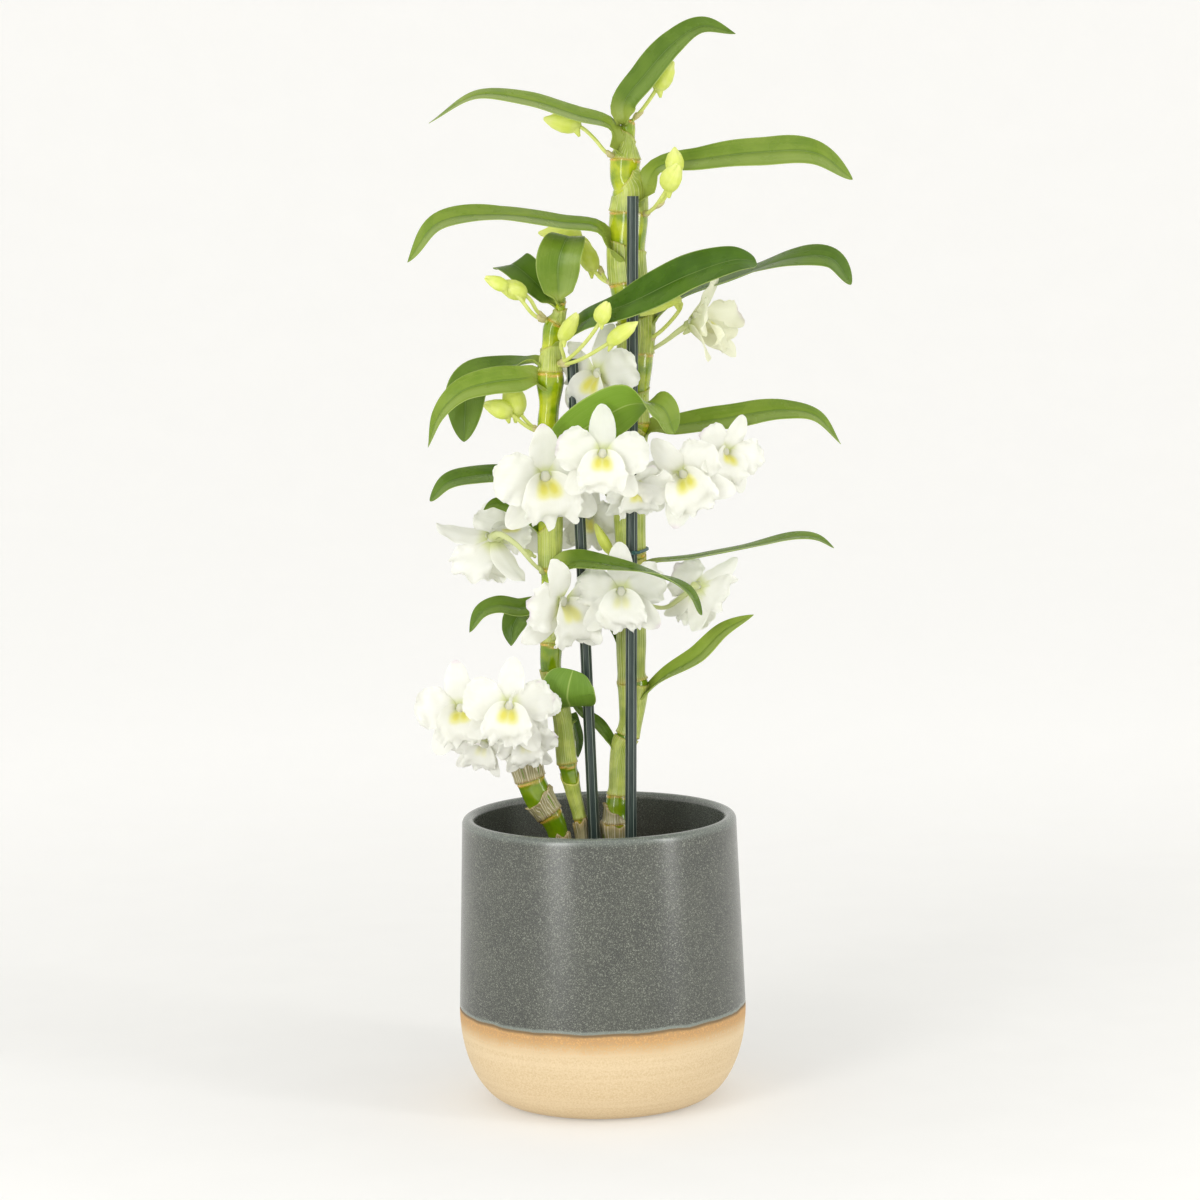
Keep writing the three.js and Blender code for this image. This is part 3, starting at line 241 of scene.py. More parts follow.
# Each bloom: its throat, which way it faces, which way its top sepal points, its size beside a full
# bloom, how far its petals are folded forward (degrees), the same for its sepals where they differ, how
# young and green it is, how yellow its lip (0 to 1), and its stalk's route from the cane.
BLOOMS = {
    "bloom_high": [
        dict(throat=(3.5, -5, 362), faces=(-0.6, -0.8, -0.05), top=(0.15, 0, 1), size=1, cup=-12,
             stalk=[(21, 4, 356), (14, 7, 356), (10, 4, 360)]),
    ],
    "bloom_right_high": [
        dict(throat=(50, -5, 386), faces=(0.9, -0.4, 0.05), top=(-0.1, 0.2, 0.95), size=1.1, cup=38,
             sepals=34, young=0.22, stalk=[(22, 4, 369), (36, 1, 377), (44, -2, 383)]),
    ],
    "bloom_centre_left": [
        dict(throat=(-23, -19, 313), faces=(0.2, -0.95, -0.15), top=(-0.1, 0, 1), size=1.15, cup=3,
             stalk=[(-21.5, 0, 290), (-23, -8, 296), (-23, -13, 304)]),
    ],
    "bloom_centre": [
        dict(throat=(5, -33, 325), faces=(0, -1, 0), top=(0.05, 0, 1), size=0.95, cup=0,
             stalk=[(-21.5, 0, 314), (-13, -4, 317), (-2, -8, 319.5), (7, -18, 323)]),
    ],
    "blooms_centre_right": [
        dict(throat=(45, -17, 313), faces=(-0.15, -0.95, -0.15), top=(-0.55, 0, 0.85), size=1, cup=5,
             stalk=[(20, 4, 308), (31, 1, 308), (40, -7, 310)]),
        dict(throat=(21, -17, 309), faces=(0.25, -0.7, -0.65), top=(0.2, -0.6, 0.75), size=0.8, cup=10,
             stalk=[(31, 1, 308), (30, -6, 309), (26, -14, 310)]),
        dict(throat=(65, -12, 323), faces=(0.5, -0.85, 0), top=(0.4, 0, 0.9), size=0.8, cup=5,
             stalk=[(31, 1, 308), (44, 2, 312), (58, -3, 320)]),
    ],
    "blooms_left": [
        dict(throat=(-50, -2, 282), faces=(-0.45, 0.45, -0.77), top=(-0.85, 0, 0.5), size=1.1, cup=28,
             sepals=-8, stalk=[(-22, 0, 262), (-30, -7, 270), (-38, -10, 280), (-46, -8, 285)]),
        dict(throat=(-40, 15, 284), faces=(-0.1, -0.8, 0.5), top=(0, 0.5, 0.85), size=0.85, cup=10,
             stalk=[(-29, -4, 273), (-35, 4, 276), (-38, 12, 280)]),
    ],
    "bloom_back": [
        dict(throat=(-2, 14, 290), faces=(-0.2, -0.9, -0.3), top=(0.1, 0, 1), size=0.8, cup=5,
             stalk=[(19, 4, 265), (11, 12, 270), (4, 16, 281)]),
    ],
    "blooms_low": [
        dict(throat=(-16, -17, 251), faces=(0.65, -0.75, -0.1), top=(0, 0, 1), size=1.1, cup=0, yellow=0.7,
             angles=(17, 120, 170, 213, 315), stalk=[(-22, 0, 230), (-20, -9, 236), (-17, -14, 248)]),
        dict(throat=(13, -19, 256), faces=(0, -1, 0), top=(0, 0, 1), size=0.95, cup=-8, yellow=0.35,
             stalk=[(-20, -9, 236), (-8, -14, 237), (4, -18, 242), (11, -17, 250)]),
    ],
    "bloom_low_right": [
        dict(throat=(50, -9, 257), faces=(0.5, 0.5, -0.5), top=(0.4, 0, 0.9), size=0.95, cup=5,
             stalk=[(18.5, 4, 250), (34, 0, 246), (43, -5, 252)]),
    ],
    "blooms_base_left": [
        dict(throat=(-43, -29, 202), faces=(0, -1, 0), top=(0.15, 0, 1), size=0.95, cup=0,
             stalk=[(-39, -3, 190), (-40, -14, 192), (-43, -20, 200)]),
        dict(throat=(-67, -15, 199), faces=(-0.1, -0.97, 0.1), top=(-0.15, 0, 1), size=0.95, cup=5,
             stalk=[(-40, -14, 192), (-52, -13, 194), (-62, -10, 198)]),
        dict(throat=(-31.5, -22, 202), faces=(0.2, -1, 0.05), top=(0.3, 0, 0.95), size=0.6, cup=20,
             stalk=[(-40, -14, 192), (-35, -13, 195), (-32, -16, 200)]),
        dict(throat=(-36, -21, 184), faces=(0.15, -0.8, -0.55), top=(0, -0.6, 0.8), size=0.68, cup=20,
             yellow=0.3, stalk=[(-40, -14, 192), (-38, -17, 188)]),
        dict(throat=(-56, -12, 182), faces=(-0.3, -0.7, -0.6), top=(0, -0.65, 0.75), size=0.72, cup=15,
             yellow=0.3, stalk=[(-40, -14, 192), (-49, -11, 188)]),
    ],
}

# Each spray's stalks: the length and width of the bud at the end, and the route from the cane.
SPRAYS = {
    "buds_top": [
        dict(bud=(16, 9.5), route=[(20.5, 4, 483), (28, 2, 491), (34.5, 0, 500), (43, -1, 513)]),
    ],
    "buds_upper_left": [
        dict(bud=(18, 10), route=[(18, 3, 467), (10, -2, 470), (4, -2, 477), (-3, -1, 483),
             (-20, 0, 487)]),
    ],
    "buds_right_high": [
        dict(bud=(16, 10.5), route=[(22, 3, 439), (30, -4, 441), (37, -13, 449.5), (44, -24.5, 464)]),
        dict(bud=(13, 9), route=[(30, -4, 441), (37, -10, 447), (42, -18, 459), (42.5, -20, 472)]),
    ],
    "buds_left_high": [
        dict(bud=(18, 9.5), route=[(18, 4, 405), (9, 2, 407), (4, 6, 411), (-4, 12, 428)]),
        dict(bud=(21, 9), route=[(9, 2, 407), (4, 12, 416), (-2, 18, 428), (-24, 20, 431)]),
    ],
    "buds_crown_left": [
        dict(bud=(15, 9.5), route=[(-18, 0, 387), (-25, -2, 393), (-30, -6, 401), (-44, -9, 408)]),
        dict(bud=(12, 7), route=[(-18, 0, 387), (-27, -6, 392), (-36, -11, 403), (-50, -13, 411)]),
    ],
    "buds_centre": [
        dict(bud=(16, 8), route=[(-19, 0, 366), (-13, -7, 370), (-14, -14, 379), (-6, -19, 393)]),
        dict(bud=(13, 8.5), route=[(-19, 0, 366), (-9, -12, 372), (3, -25, 386), (9, -35, 399)]),
        dict(bud=(19, 8), route=[(-19, 0, 366), (-6, -14, 370), (6, -24, 377), (23, -33, 389)]),
    ],
    "buds_mid_left": [
        dict(bud=(14, 9.5), route=[(-21, 0, 332), (-31, -4, 337), (-40, -6, 344), (-52, -7, 349)]),
        dict(bud=(18, 11.5), route=[(-21, 0, 332), (-30, -2, 338), (-36, -2, 346), (-40, 0, 360)]),
    ],
    "bud_back": [
        dict(bud=(17, 5.5), route=[(19, 4, 266), (10, 0, 272), (5, -1, 280), (1, 1, 288)]),
    ],
    "bud_right_high": [
        dict(bud=(22, 7.5), route=[(22, 4, 375), (35, -3, 383), (45, -8, 396), (41, -11, 398.5),
             (25, -12, 391.5)]),
    ],
}

# ---------- routes, forms and surfaces ----------


def unit(vectors):
    return vectors / np.linalg.norm(vectors, axis=-1, keepdims=True)


def outline(stations, shares):
    """How wide a form is at shares of its length, from its (share, width) stations."""
    return np.interp(shares, *zip(*stations))


def full_turn(count):
    """Evenly spaced angles, once round."""
    return np.arange(count) * TURN / count


def smooth(low, high, values):
    """Rises softly from 0 at low to 1 at high."""
    share = np.clip((values - low) / (high - low), 0, 1)
    return share * share * (3 - 2 * share)


def followed(places, stations, rows):
    """The rows that lie at the stations, read off at the places between them."""
    return np.stack([np.interp(places, stations, axis) for axis in rows.T], axis=-1)


class Route:
    """A smooth curve through points, followed by the share of its length."""

    FINENESS = 30                # samples from one point to the next
    STEP = 0.01                  # share of the length over which a direction is taken

    def __init__(self, points):
        points = np.array(points, float)
        ends = (2 * points[0] - points[1], 2 * points[-1] - points[-2])
        led = np.vstack([ends[0], points, ends[1]])
        stretches = [self.stretch(*led[index:index + 4]) for index in range(len(points) - 1)]
        self.samples = np.vstack([points[:1], *stretches])
        run = np.cumsum(np.linalg.norm(np.diff(self.samples, axis=0), axis=1))
        self.length = run[-1]
        self.shares = np.concatenate([[0], run]) / self.length

    def stretch(self, before, start, end, after):
        """Samples from start to end on a centripetal Catmull-Rom curve."""
        ends = ((before, start), (start, end), (end, after))
        first, gap, last = [math.sqrt(np.linalg.norm(b - a)) for a, b in ends]
        leave = gap * ((start - before) / first - (end - before) / (first + gap)) + (end - start)
        reach = gap * ((after - end) / last - (after - start) / (gap + last)) + (end - start)
        t = (np.arange(1, self.FINENESS + 1) / self.FINENESS)[:, None]
        bend = 3 * (end - start) - 2 * leave - reach
        twist = 2 * (start - end) + leave + reach
        return start + leave * t + bend * t ** 2 + twist * t ** 3

    def at(self, shares):
        return followed(shares, self.shares, self.samples)

    def direction(self, shares):
        ahead = np.minimum(np.asarray(shares) + self.STEP, 1)
        behind = np.maximum(np.asarray(shares) - self.STEP, 0)
        return unit(self.at(ahead) - self.at(behind))


def grid(rows, columns, closed=False):
    """The four-cornered faces of a grid of vertices, closed round its columns or not."""
    index = np.arange(rows * columns).reshape(rows, columns)
    right = np.roll(index, -1, axis=1)
    faces = np.stack([index[:-1], right[:-1], right[1:], index[1:]], axis=-1)
    if not closed:
        faces = faces[:, :-1]
    return faces.reshape(-1, 4)


class Form:
    """Gathers surfaces into one piece, with a number at each vertex for every named value."""

    def __init__(self, *names):
        self.points = []
        self.faces = []
        self.values = {name: [] for name in names}
        self.count = 0

    def add(self, points, *faces, **values):
        points = np.reshape(points, (-1, 3))
        self.points.append(points)
        self.faces.extend(group + self.count for group in faces)
        for name, held in self.values.items():
            held.append(np.broadcast_to(np.ravel(values.get(name, 0)), len(points)))
        self.count += len(points)

    def mesh(self, name, sharp=None):
        mesh = bpy.data.meshes.new(name)
        mesh.vertices.add(self.count)
        mesh.vertices.foreach_set("co", np.ravel(np.vstack(self.points) * MM))
        corners = np.concatenate([group.ravel() for group in self.faces])
        sizes = np.concatenate([np.full(len(group), group.shape[1]) for group in self.faces])
        mesh.loops.add(len(corners))
        mesh.loops.foreach_set("vertex_index", corners.astype(np.int32))
        mesh.polygons.add(len(sizes))
        starts = np.concatenate([[0], np.cumsum(sizes)[:-1]])
        mesh.polygons.foreach_set("loop_start", starts.astype(np.int32))
        for value_name, held in self.values.items():
            attribute = mesh.attributes.new(value_name, "FLOAT", "POINT")
            attribute.data.foreach_set("value", np.concatenate(held).astype(np.float32))
        mesh.update(calc_edges=True)
        mesh.shade_smooth()
        if sharp is not None:
            mesh.set_sharp_from_angle(angle=math.radians(sharp))
        return mesh

    def piece(self, name, material, slot, *nodes, sharp=None):
        """Makes the piece, which stands for the nodes."""
        made = bpy.data.objects.new(name, self.mesh(name, sharp))
        made.data.materials.append(material)
        bpy.context.scene.collection.objects.link(made)
        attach(made, "root")
        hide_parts(*nodes)
        return made


class Moved:
    """A form seen through a move: what is added in one place lands in another."""

    def __init__(self, form, move):
        self.form = form
        self.move = move

    def add(self, points, *faces, **values):
        self.form.add(self.move(points), *faces, **values)


def turned(profile, segments):
    """A profile of (radius, height) points turned round the Z axis."""
    profile = np.array(profile, float)
    turn = full_turn(segments)
    points = np.empty((len(profile), segments, 3))
    points[..., 0] = profile[:, None, 0] * np.cos(turn)
    points[..., 1] = profile[:, None, 0] * np.sin(turn)
    points[..., 2] = profile[:, None, 1]
    return points


def close(form, points, **values):
    """Adds rings of vertices as a closed surface, with a fan over each end."""
    rows, sides = points.shape[:2]
    middle_low = points[0].mean(axis=0)
    middle_high = points[-1].mean(axis=0)
    spread = {name: np.broadcast_to(rows_of(value, rows), (rows, sides)) for name, value in values.items()}
    count = rows * sides
    around = np.arange(sides)
    after = np.roll(around, -1)
    low_fan = np.stack([np.full(sides, count), after, around], axis=-1)
    top = count - sides
    high_fan = np.stack([np.full(sides, count + 1), top + around, top + after], axis=-1)
    ended = {
        name: np.concatenate([value.ravel(), [value[0].mean(), value[-1].mean()]])
        for name, value in spread.items()
    }
    vertices = np.vstack([points.reshape(-1, 3), middle_low, middle_high])
    form.add(vertices, grid(rows, sides, closed=True), low_fan, high_fan, **ended)


def rows_of(value, rows):
    """A value as a column, where it is given as one number a ring."""
    value = np.asarray(value, float)
    return value[:, None] if value.ndim == 1 and len(value) == rows else value


def ring_frames(centres, hint):
    """The direction at each centre, and two across it that don't twist from ring to ring."""
    ahead = unit(np.gradient(centres, axis=0))
    across = np.empty_like(ahead)
    held = np.array(hint, float)
    for index, direction in enumerate(ahead):
        held = unit(held - direction * (held @ direction))
        across[index] = held
    return ahead, across, np.cross(ahead, across)


def tube(form, centres, radii, sides, hint=(1, 0, 0), slide=0, **values):
    """A closed tube through centres. radii and slide, which moves vertices along the tube, hold one
    number a ring, or one for each vertex."""
    centres = np.asarray(centres, float)
    rows = len(centres)
    ahead, across, over = ring_frames(centres, hint)
    turn = full_turn(sides)
    out = across[:, None] * np.cos(turn)[:, None] + over[:, None] * np.sin(turn)[:, None]
    reach = np.broadcast_to(rows_of(radii, rows), (rows, sides))[..., None]
    shift = np.broadcast_to(rows_of(slide, rows), (rows, sides))[..., None]
    close(form, centres[:, None] + out * reach + ahead[:, None] * shift, **values)


class Ripple:
    """Soft random waves over a plane, as a sum of sines in random directions."""

    WAVES = 6

    def __init__(self, rng, length):
        heading = rng.uniform(0, TURN, self.WAVES)
        pitch = TURN / (length * rng.uniform(0.7, 1.4, self.WAVES))
        self.x = pitch * np.cos(heading)
        self.y = pitch * np.sin(heading)
        self.phase = rng.uniform(0, TURN, self.WAVES)

    def at(self, x, y):
        waves = np.sin(x[..., None] * self.x + y[..., None] * self.y + self.phase)
        return waves.sum(axis=-1) / math.sqrt(self.WAVES)


# ---------- blades: leaves, sepals, petals and lips ----------

BLADE_TIP = 0.02                 # a fine blade's narrowest, beside its full width


def blade_width(shares, blade):
    """How wide a blade is along its length, beside its full width."""
    rise = np.sin(np.clip(shares / blade["peak"], 0, 1) * math.pi / 2)
    fall = np.clip((shares - blade["peak"]) / (1 - blade["peak"]), 0, 1)
    growing = blade["neck"] + (1 - blade["neck"]) * rise
    ending = np.maximum((1 - fall ** 2) ** blade["round"], BLADE_TIP)
    return np.where(shares < blade["peak"], growing, ending)


def add_blade(form, blade, columns, rows, thickness, shaping, **values):
    """A blade with a front and a back that meet in a thin edge. shaping gives how far sideways, out of
    the blade's plane and onwards each vertex lies. A value is a number, or a function of the place
    across and along the blade."""
    route = Route(blade["route"])
    shares = np.sin(np.linspace(0, math.pi / 2, rows))
    across, along = np.meshgrid(np.sin(np.linspace(-math.pi / 2, math.pi / 2, columns)), shares)
    faces = np.array(blade["faces"], float)
    turns = blade.get("turns", np.linspace(0, 1, len(faces)))
    face = followed(shares, turns, faces)
    ahead = route.direction(shares)
    side = unit(np.cross(ahead, face))
    normal = np.cross(side, ahead)
    half = (blade["width"] / 2 * blade_width(shares, blade))[:, None]
    shifts = shaping(across, along, half, route.length)
    middle = route.at(shares)[:, None] + sum(
        direction[:, None] * shift[..., None] for direction, shift in zip((side, normal, ahead), shifts))
    out = unit(np.cross(np.gradient(middle, axis=1), np.gradient(middle, axis=0)))
    depth = thickness / 2 * (0.25 + 0.75 * np.sqrt(1 - across ** 2)) * (1 - 0.6 * along ** 6)
    front = middle + out * depth[..., None]
    back = middle - out * depth[..., None]
    points = np.concatenate([front, back[:, ::-1]], axis=1)
    held = {name: value(across, along) if callable(value) else value + 0 * across
            for name, value in values.items()}
    held.update(across=across, along=along)
    doubled = {name: np.concatenate([value, value[:, ::-1]], axis=1) for name, value in held.items()}
    under = np.concatenate([np.zeros_like(across), np.ones_like(across)], axis=1)
    first = np.arange(columns - 1)
    last = 2 * columns - 1 - first
    foot = np.stack([first, last, last - 1, first + 1], axis=-1)
    tip = foot[:, ::-1] + (rows - 1) * 2 * columns
    form.add(points, grid(rows, 2 * columns, closed=True), foot, tip, under=under, **doubled)


# ---------- materials ----------


def colour(red, green, blue):
    """A linear colour from screen values of 0 to 255."""
    return tuple(
        part / 12.92 if part <= 0.04045 else ((part + 0.055) / 1.055) ** 2.4
        for part in (red / 255, green / 255, blue / 255)
    ) + (1,)


class Shader:
    """Builds one material's nodes. What goes into them is a number, a colour as (red, green, blue) from
    0 to 255, or another node's output."""

    def __init__(self, name, roughness, **settings):
        self.material = bpy.data.materials.new(name)
        self.material.use_nodes = True
        self.tree = self.material.node_tree
        self.surface = self.tree.nodes["Principled BSDF"]
        self.output = self.tree.nodes["Material Output"]
        self.put(self.surface.inputs["Roughness"], roughness)
        for key, value in settings.items():
            self.put(self.surface.inputs[key.replace("_", " ")], value)

    def put(self, socket, value):
        if isinstance(value, bpy.types.NodeSocket):
            self.tree.links.new(value, socket)
        else:
            socket.default_value = colour(*value) if socket.type == "RGBA" else value

    def node(self, kind, output, inputs, **settings):
        """Makes a node of a kind, fills its inputs, and gives back one of its outputs."""
        made = self.tree.nodes.new("ShaderNode" + kind)
        for key, value in settings.items():
            setattr(made, key, value)
        for key, value in inputs.items():
            self.put(made.inputs[key], value)
        return made.outputs[output]

    def values(self, *names):
        """The numbers that the mesh holds at each vertex under the names."""
        return [self.node("Attribute", "Fac", {}, attribute_name=name) for name in names]

    def place(self, scale=(1, 1, 1)):
        """The place on the object in millimetres, stretched by scale."""
        place = self.node("TexCoord", "Object", {})
        return self.node("Mapping", "Vector", {"Vector": place, "Scale": [part / MM for part in scale]})

    def plane(self, x, y, z=0.0):
        return self.node("CombineXYZ", "Vector", {0: x, 1: y, 2: z})

    def split(self, vector):
        x = self.node("SeparateXYZ", 0, {0: vector})
        return x.node.outputs

    def math(self, operation, *numbers):
        return self.node("Math", 0, dict(enumerate(numbers)), operation=operation)

    def plus(self, first, second):
        return self.math("ADD", first, second)

    def times(self, first, second):
        return self.math("MULTIPLY", first, second)

    def range(self, value, low, high, to_low=0.0, to_high=1.0, way="SMOOTHSTEP"):
        """Maps low to high onto to_low to to_high, and holds those beyond."""
        inputs = dict(enumerate((value, low, high, to_low, to_high)))
        return self.node("MapRange", 0, inputs, interpolation_type=way)

    def noise(self, vector, scale, detail, roughness=0.5):
        inputs = {"Vector": vector, "Scale": scale, "Detail": detail, "Roughness": roughness}
        return self.node("TexNoise", "Fac", inputs)

    def streaks(self, stretch, scale, detail, third=0.0):
        """Noise drawn out along a blade."""
        across, along = self.values("across", "along")
        return self.noise(self.plane(across, self.times(along, stretch), third), scale, detail)

    def cells(self, vector, scale, output):
        return self.node("TexVoronoi", output, {"Vector": vector, "Scale": scale})

    def mix(self, share, first, second):
        return self.node("Mix", 2, {0: share, 6: first, 7: second}, data_type="RGBA")

    def blend(self, value, low, high, first, second):
        """One colour where the value is low, the other where it is high."""
        return self.mix(self.range(value, low, high), first, second)

    def layers(self, shade, *layers):
        """Lays one colour after another over a shade. Each comes with the value that brings it in, from
        low to high, and how much of it shows at most."""
        for over, value, low, high, most in layers:
            shade = self.mix(self.range(value, low, high, 0, most), shade, over)
        return shade

    def ramp(self, value, *stops):
        shade = self.node("ValToRGB", "Color", {0: value})
        elements = shade.node.color_ramp.elements
        while len(elements) < len(stops):
            elements.new(0.5)
        for element, (position, stop) in zip(elements, stops):
            element.position = position
            element.color = colour(*stop)
        return shade

    def bump(self, height, depth, strength):
        """Raises the surface by up to depth millimetres where height is 1."""
        inputs = {"Strength": strength, "Distance": depth * MM, "Height": height}
        normal = self.node("Bump", "Normal", inputs)
        self.put(self.surface.inputs["Normal"], normal)
        return normal

    def paint(self, shade, roughness=None):
        self.put(self.surface.inputs["Base Color"], shade)
        if roughness is not None:
            self.put(self.surface.inputs["Roughness"], roughness)

    def let_light_through(self, shade, share, normal):
        """Mixes in light that passes through a thin blade."""
        through = self.node("BsdfTranslucent", 0, {"Color": shade, "Normal": normal})
        both = self.node("MixShader", 0, {0: share, 1: self.surface.outputs[0], 2: through})
        self.put(self.output.inputs["Surface"], both)


def leaf_material():
    """Satin green, with a pale midrib line in a groove darkened by painted shade, a painted sheen along the
    front half, fine veins along the blade, light edges, a yellow-green foot and a paler, duller underside."""
    shader = Shader("leaf", roughness=0.36, Specular_IOR_Level=0.28)
    across, along, under, light, near = shader.values("across", "along", "under", "light", "near")
    from_midrib = shader.math("ABSOLUTE", across)
    streaks = shader.streaks(0.12, 26, 3, light)
    fine = shader.streaks(0.05, 70, 2, light)
    patches = shader.noise(shader.place(), 0.07, 3)
    # Where a leaf's light value is high, its lighter, greyer green is partly a painted sheen.
    deep = shader.mix(light, (34, 72, 10), (114, 148, 34))
    bright = shader.mix(light, (68, 110, 20), (162, 182, 74))
    upper = shader.mix(shader.range(patches, 0.25, 0.75, 0.15, 0.85), deep, bright)
    upper = shader.layers(upper, (bright, streaks, 0.35, 0.75, 0.4))
    # A painted sheen: a paler band along the half of the blade that lies nearer the front.
    painted_sheen = shader.times(shader.range(near, 0.05, 0.45, 0, 0.5), shader.range(near, 1.0, 0.7))
    painted_sheen = shader.times(painted_sheen, shader.range(fine, 0.3, 0.7, 0.55, 1.3))
    painted_sheen = shader.times(painted_sheen, shader.range(light, 0, 0.5, 0.3, 1))
    upper = shader.mix(painted_sheen, upper, shader.mix(light, (112, 146, 56), (176, 192, 108)))
    # Painted shade darkens the groove along the midrib; a thin pale line runs down its middle.
    upper = shader.layers(
        upper,
        ((44, 80, 24), from_midrib, 0.12, 0.0, 0.5),
        ((164, 188, 104), from_midrib, 0.028, 0.0, 0.6),
    )
    lower = shader.mix(light, (94, 130, 44), (134, 172, 46))
    lower = shader.layers(
        lower,
        ((160, 186, 86), streaks, 0.3, 0.8, 0.22),
        ((188, 206, 118), from_midrib, 0.05, 0.0, 0.6),
    )
    shade = shader.mix(under, upper, lower)
    shade = shader.layers(
        shade,
        ((184, 200, 116), from_midrib, 0.94, 1.0, 0.7),
        ((162, 178, 78), along, 0.22, 0.09, 0.92),
    )
    gloss = shader.range(under, 0, 1, 0.27, 0.48)
    shader.paint(shade, shader.plus(gloss, shader.range(patches, 0.3, 0.7, -0.04, 0.06)))
    normal = shader.bump(streaks, 0.14, 0.8)
    shader.let_light_through(shader.mix(0.5, shade, (164, 200, 30)), 0.2, normal)
    return shader.material


def petal_material():
    """Translucent white with faint veins, a greenish foot, a yellow blotch in the lip, a beige anther
    and pale green stalks."""
    shader = Shader("petal", roughness=0.52, Specular_IOR_Level=0.25)
    green, blotch, anther, lilac, young = shader.values("green", "blotch", "anther", "lilac", "young")
    veins = shader.streaks(0.15, 14, 3)
    clouds = shader.noise(shader.place(), 0.16, 2)
    shade = shader.blend(clouds, 0.3, 0.7, (248, 248, 243), (252, 252, 249))
    shade = shader.layers(shade, ((240, 241, 230), veins, 0.45, 0.75, 0.3))
    shade = shader.mix(young, shade, (240, 240, 150))
    shade = shader.layers(
        shade,
        ((226, 206, 230), lilac, 0, 1, 0.5),
        ((218, 226, 142), green, 0, 1, 0.9),
        ((246, 243, 168), blotch, 0.05, 0.6, 0.9),
    )
    deep = shader.blend(clouds, 0.35, 0.65, (244, 235, 104), (234, 230, 96))
    shade = shader.layers(shade, (deep, blotch, 0.6, 1.05, 0.9))
    shade = shader.mix(anther, shade, (243, 232, 206))
    shader.paint(shade)
    normal = shader.bump(veins, 0.1, 0.5)
    shader.let_light_through(shader.mix(0.5, shade, (253, 253, 247)), 0.52, normal)
    return shader.material


def bud_material():
    """Pale yellow-green, greener at the foot and whiter at the tip, with faint ribs and a faint painted
    glow.
    """
    # A faint painted glow: the buds give off light of their own, which lifts them where the leaves shade
    # them.
    shader = Shader("bud", roughness=0.42, Specular_IOR_Level=0.4, Emission_Strength=0.1,
                    Emission_Color=(220, 230, 90))
    along, bract = shader.values("along", "bract")
    ribs = shader.streaks(0.1, 9, 2)
    clouds = shader.noise(shader.place(), 0.2, 2)
    shade = shader.ramp(along, (0, (222, 228, 140)), (0.3, (220, 229, 112)), (0.7, (232, 238, 132)),
                        (1, (240, 243, 164)))
    shade = shader.layers(
        shade,
        ((204, 218, 90), ribs, 0.4, 0.75, 0.35),
        ((242, 243, 184), clouds, 0.4, 0.8, 0.4),
    )
    shade = shader.mix(bract, shade, shader.blend(ribs, 0.4, 0.6, (196, 174, 146), (222, 212, 172)))
    shader.paint(shade)
    normal = shader.bump(ribs, 0.15, 0.6)
    shader.let_light_through(shade, 0.38, normal)
    return shader.material


FIBRES = 34                      # pale fibres round a sheath


def cane_material():
    """Glossy green bulbs between dull sheaths with pale fibres along them, and amber rings."""
    shader = Shader("cane", roughness=0.3, Specular_IOR_Level=0.7)
    sheath, dry, ring, turn_x, turn_y = shader.values("sheath", "dry", "ring", "turn_x", "turn_y")
    place = shader.place()
    height = shader.split(place)[2]
    drift = shader.noise(shader.place((1, 1, 0.05)), 0.25, 1)
    counted = shader.times(shader.math("ARCTAN2", turn_y, turn_x), FIBRES / TURN)
    counted = shader.plus(counted, shader.times(drift, 2.5))
    fibres = shader.times(shader.math("PINGPONG", counted, 0.5), 2)
    faded = shader.range(shader.noise(shader.place((1, 1, 0.1)), 0.6, 1), 0.3, 0.6, 0.25, 1)
    lines = shader.times(shader.range(fibres, 0.6, 0.9), faded)
    clouds = shader.noise(place, 0.12, 3)
    specks = shader.noise(place, 2.2, 2)
    bulb = shader.blend(clouds, 0.35, 0.7, (116, 144, 4), (182, 192, 34))
    bulb = shader.layers(bulb, ((80, 118, 2), height, 250, 210, 0.72))
    fresh = shader.blend(clouds, 0.35, 0.65, (142, 160, 48), (180, 192, 80))
    olive = shader.times(shader.range(height, 320, 150, 0, 0.7), shader.range(dry, 0.1, 0.2))
    fresh = shader.mix(olive, fresh, (112, 122, 52))
    fresh = shader.mix(shader.times(lines, 0.6), fresh, (220, 226, 156))
    paper = shader.blend(clouds, 0.35, 0.65, (134, 126, 80), (162, 154, 108))
    paper = shader.mix(shader.times(lines, 0.85), paper, (228, 220, 192))
    shade = shader.mix(sheath, bulb, shader.blend(dry, 0.4, 0.8, fresh, paper))
    shade = shader.mix(ring, shade, shader.blend(specks, 0.42, 0.58, (196, 130, 40), (222, 190, 96)))
    shader.paint(shade, shader.range(sheath, 0, 1, 0.12, 0.42))
    shader.bump(shader.times(lines, sheath), 0.3, 0.8)
    return shader.material


def stake_material():
    """Dark green plastic, with painted highlights along its ribs."""
    shader = Shader("stake_plastic", roughness=0.38, Specular_IOR_Level=0.5)
    rib, = shader.values("rib")
    grain = shader.noise(shader.place((1, 1, 0.08)), 1.2, 3)
    shade = shader.blend(grain, 0.3, 0.7, (30, 44, 40), (46, 62, 55))
    # Painted highlights: pale lines along the crests of the ribs.
    shade = shader.layers(shade, ((158, 168, 158), rib, 0.45, 0.95, 0.85))
    shader.paint(shade, shader.range(grain, 0.3, 0.7, 0.32, 0.46))
    shader.bump(grain, 0.08, 0.5)
    return shader.material


def grained_plastic(name, roughness, scale, detail, dark, pale, gloss, depth):
    """Plastic with a fine matt grain."""
    shader = Shader(name, roughness)
    grain = shader.noise(shader.place(), scale, detail)
    shader.paint(shader.mix(grain, dark, pale), shader.range(grain, 0.3, 0.7, *gloss))
    shader.bump(grain, depth, 0.5)
    return shader.material


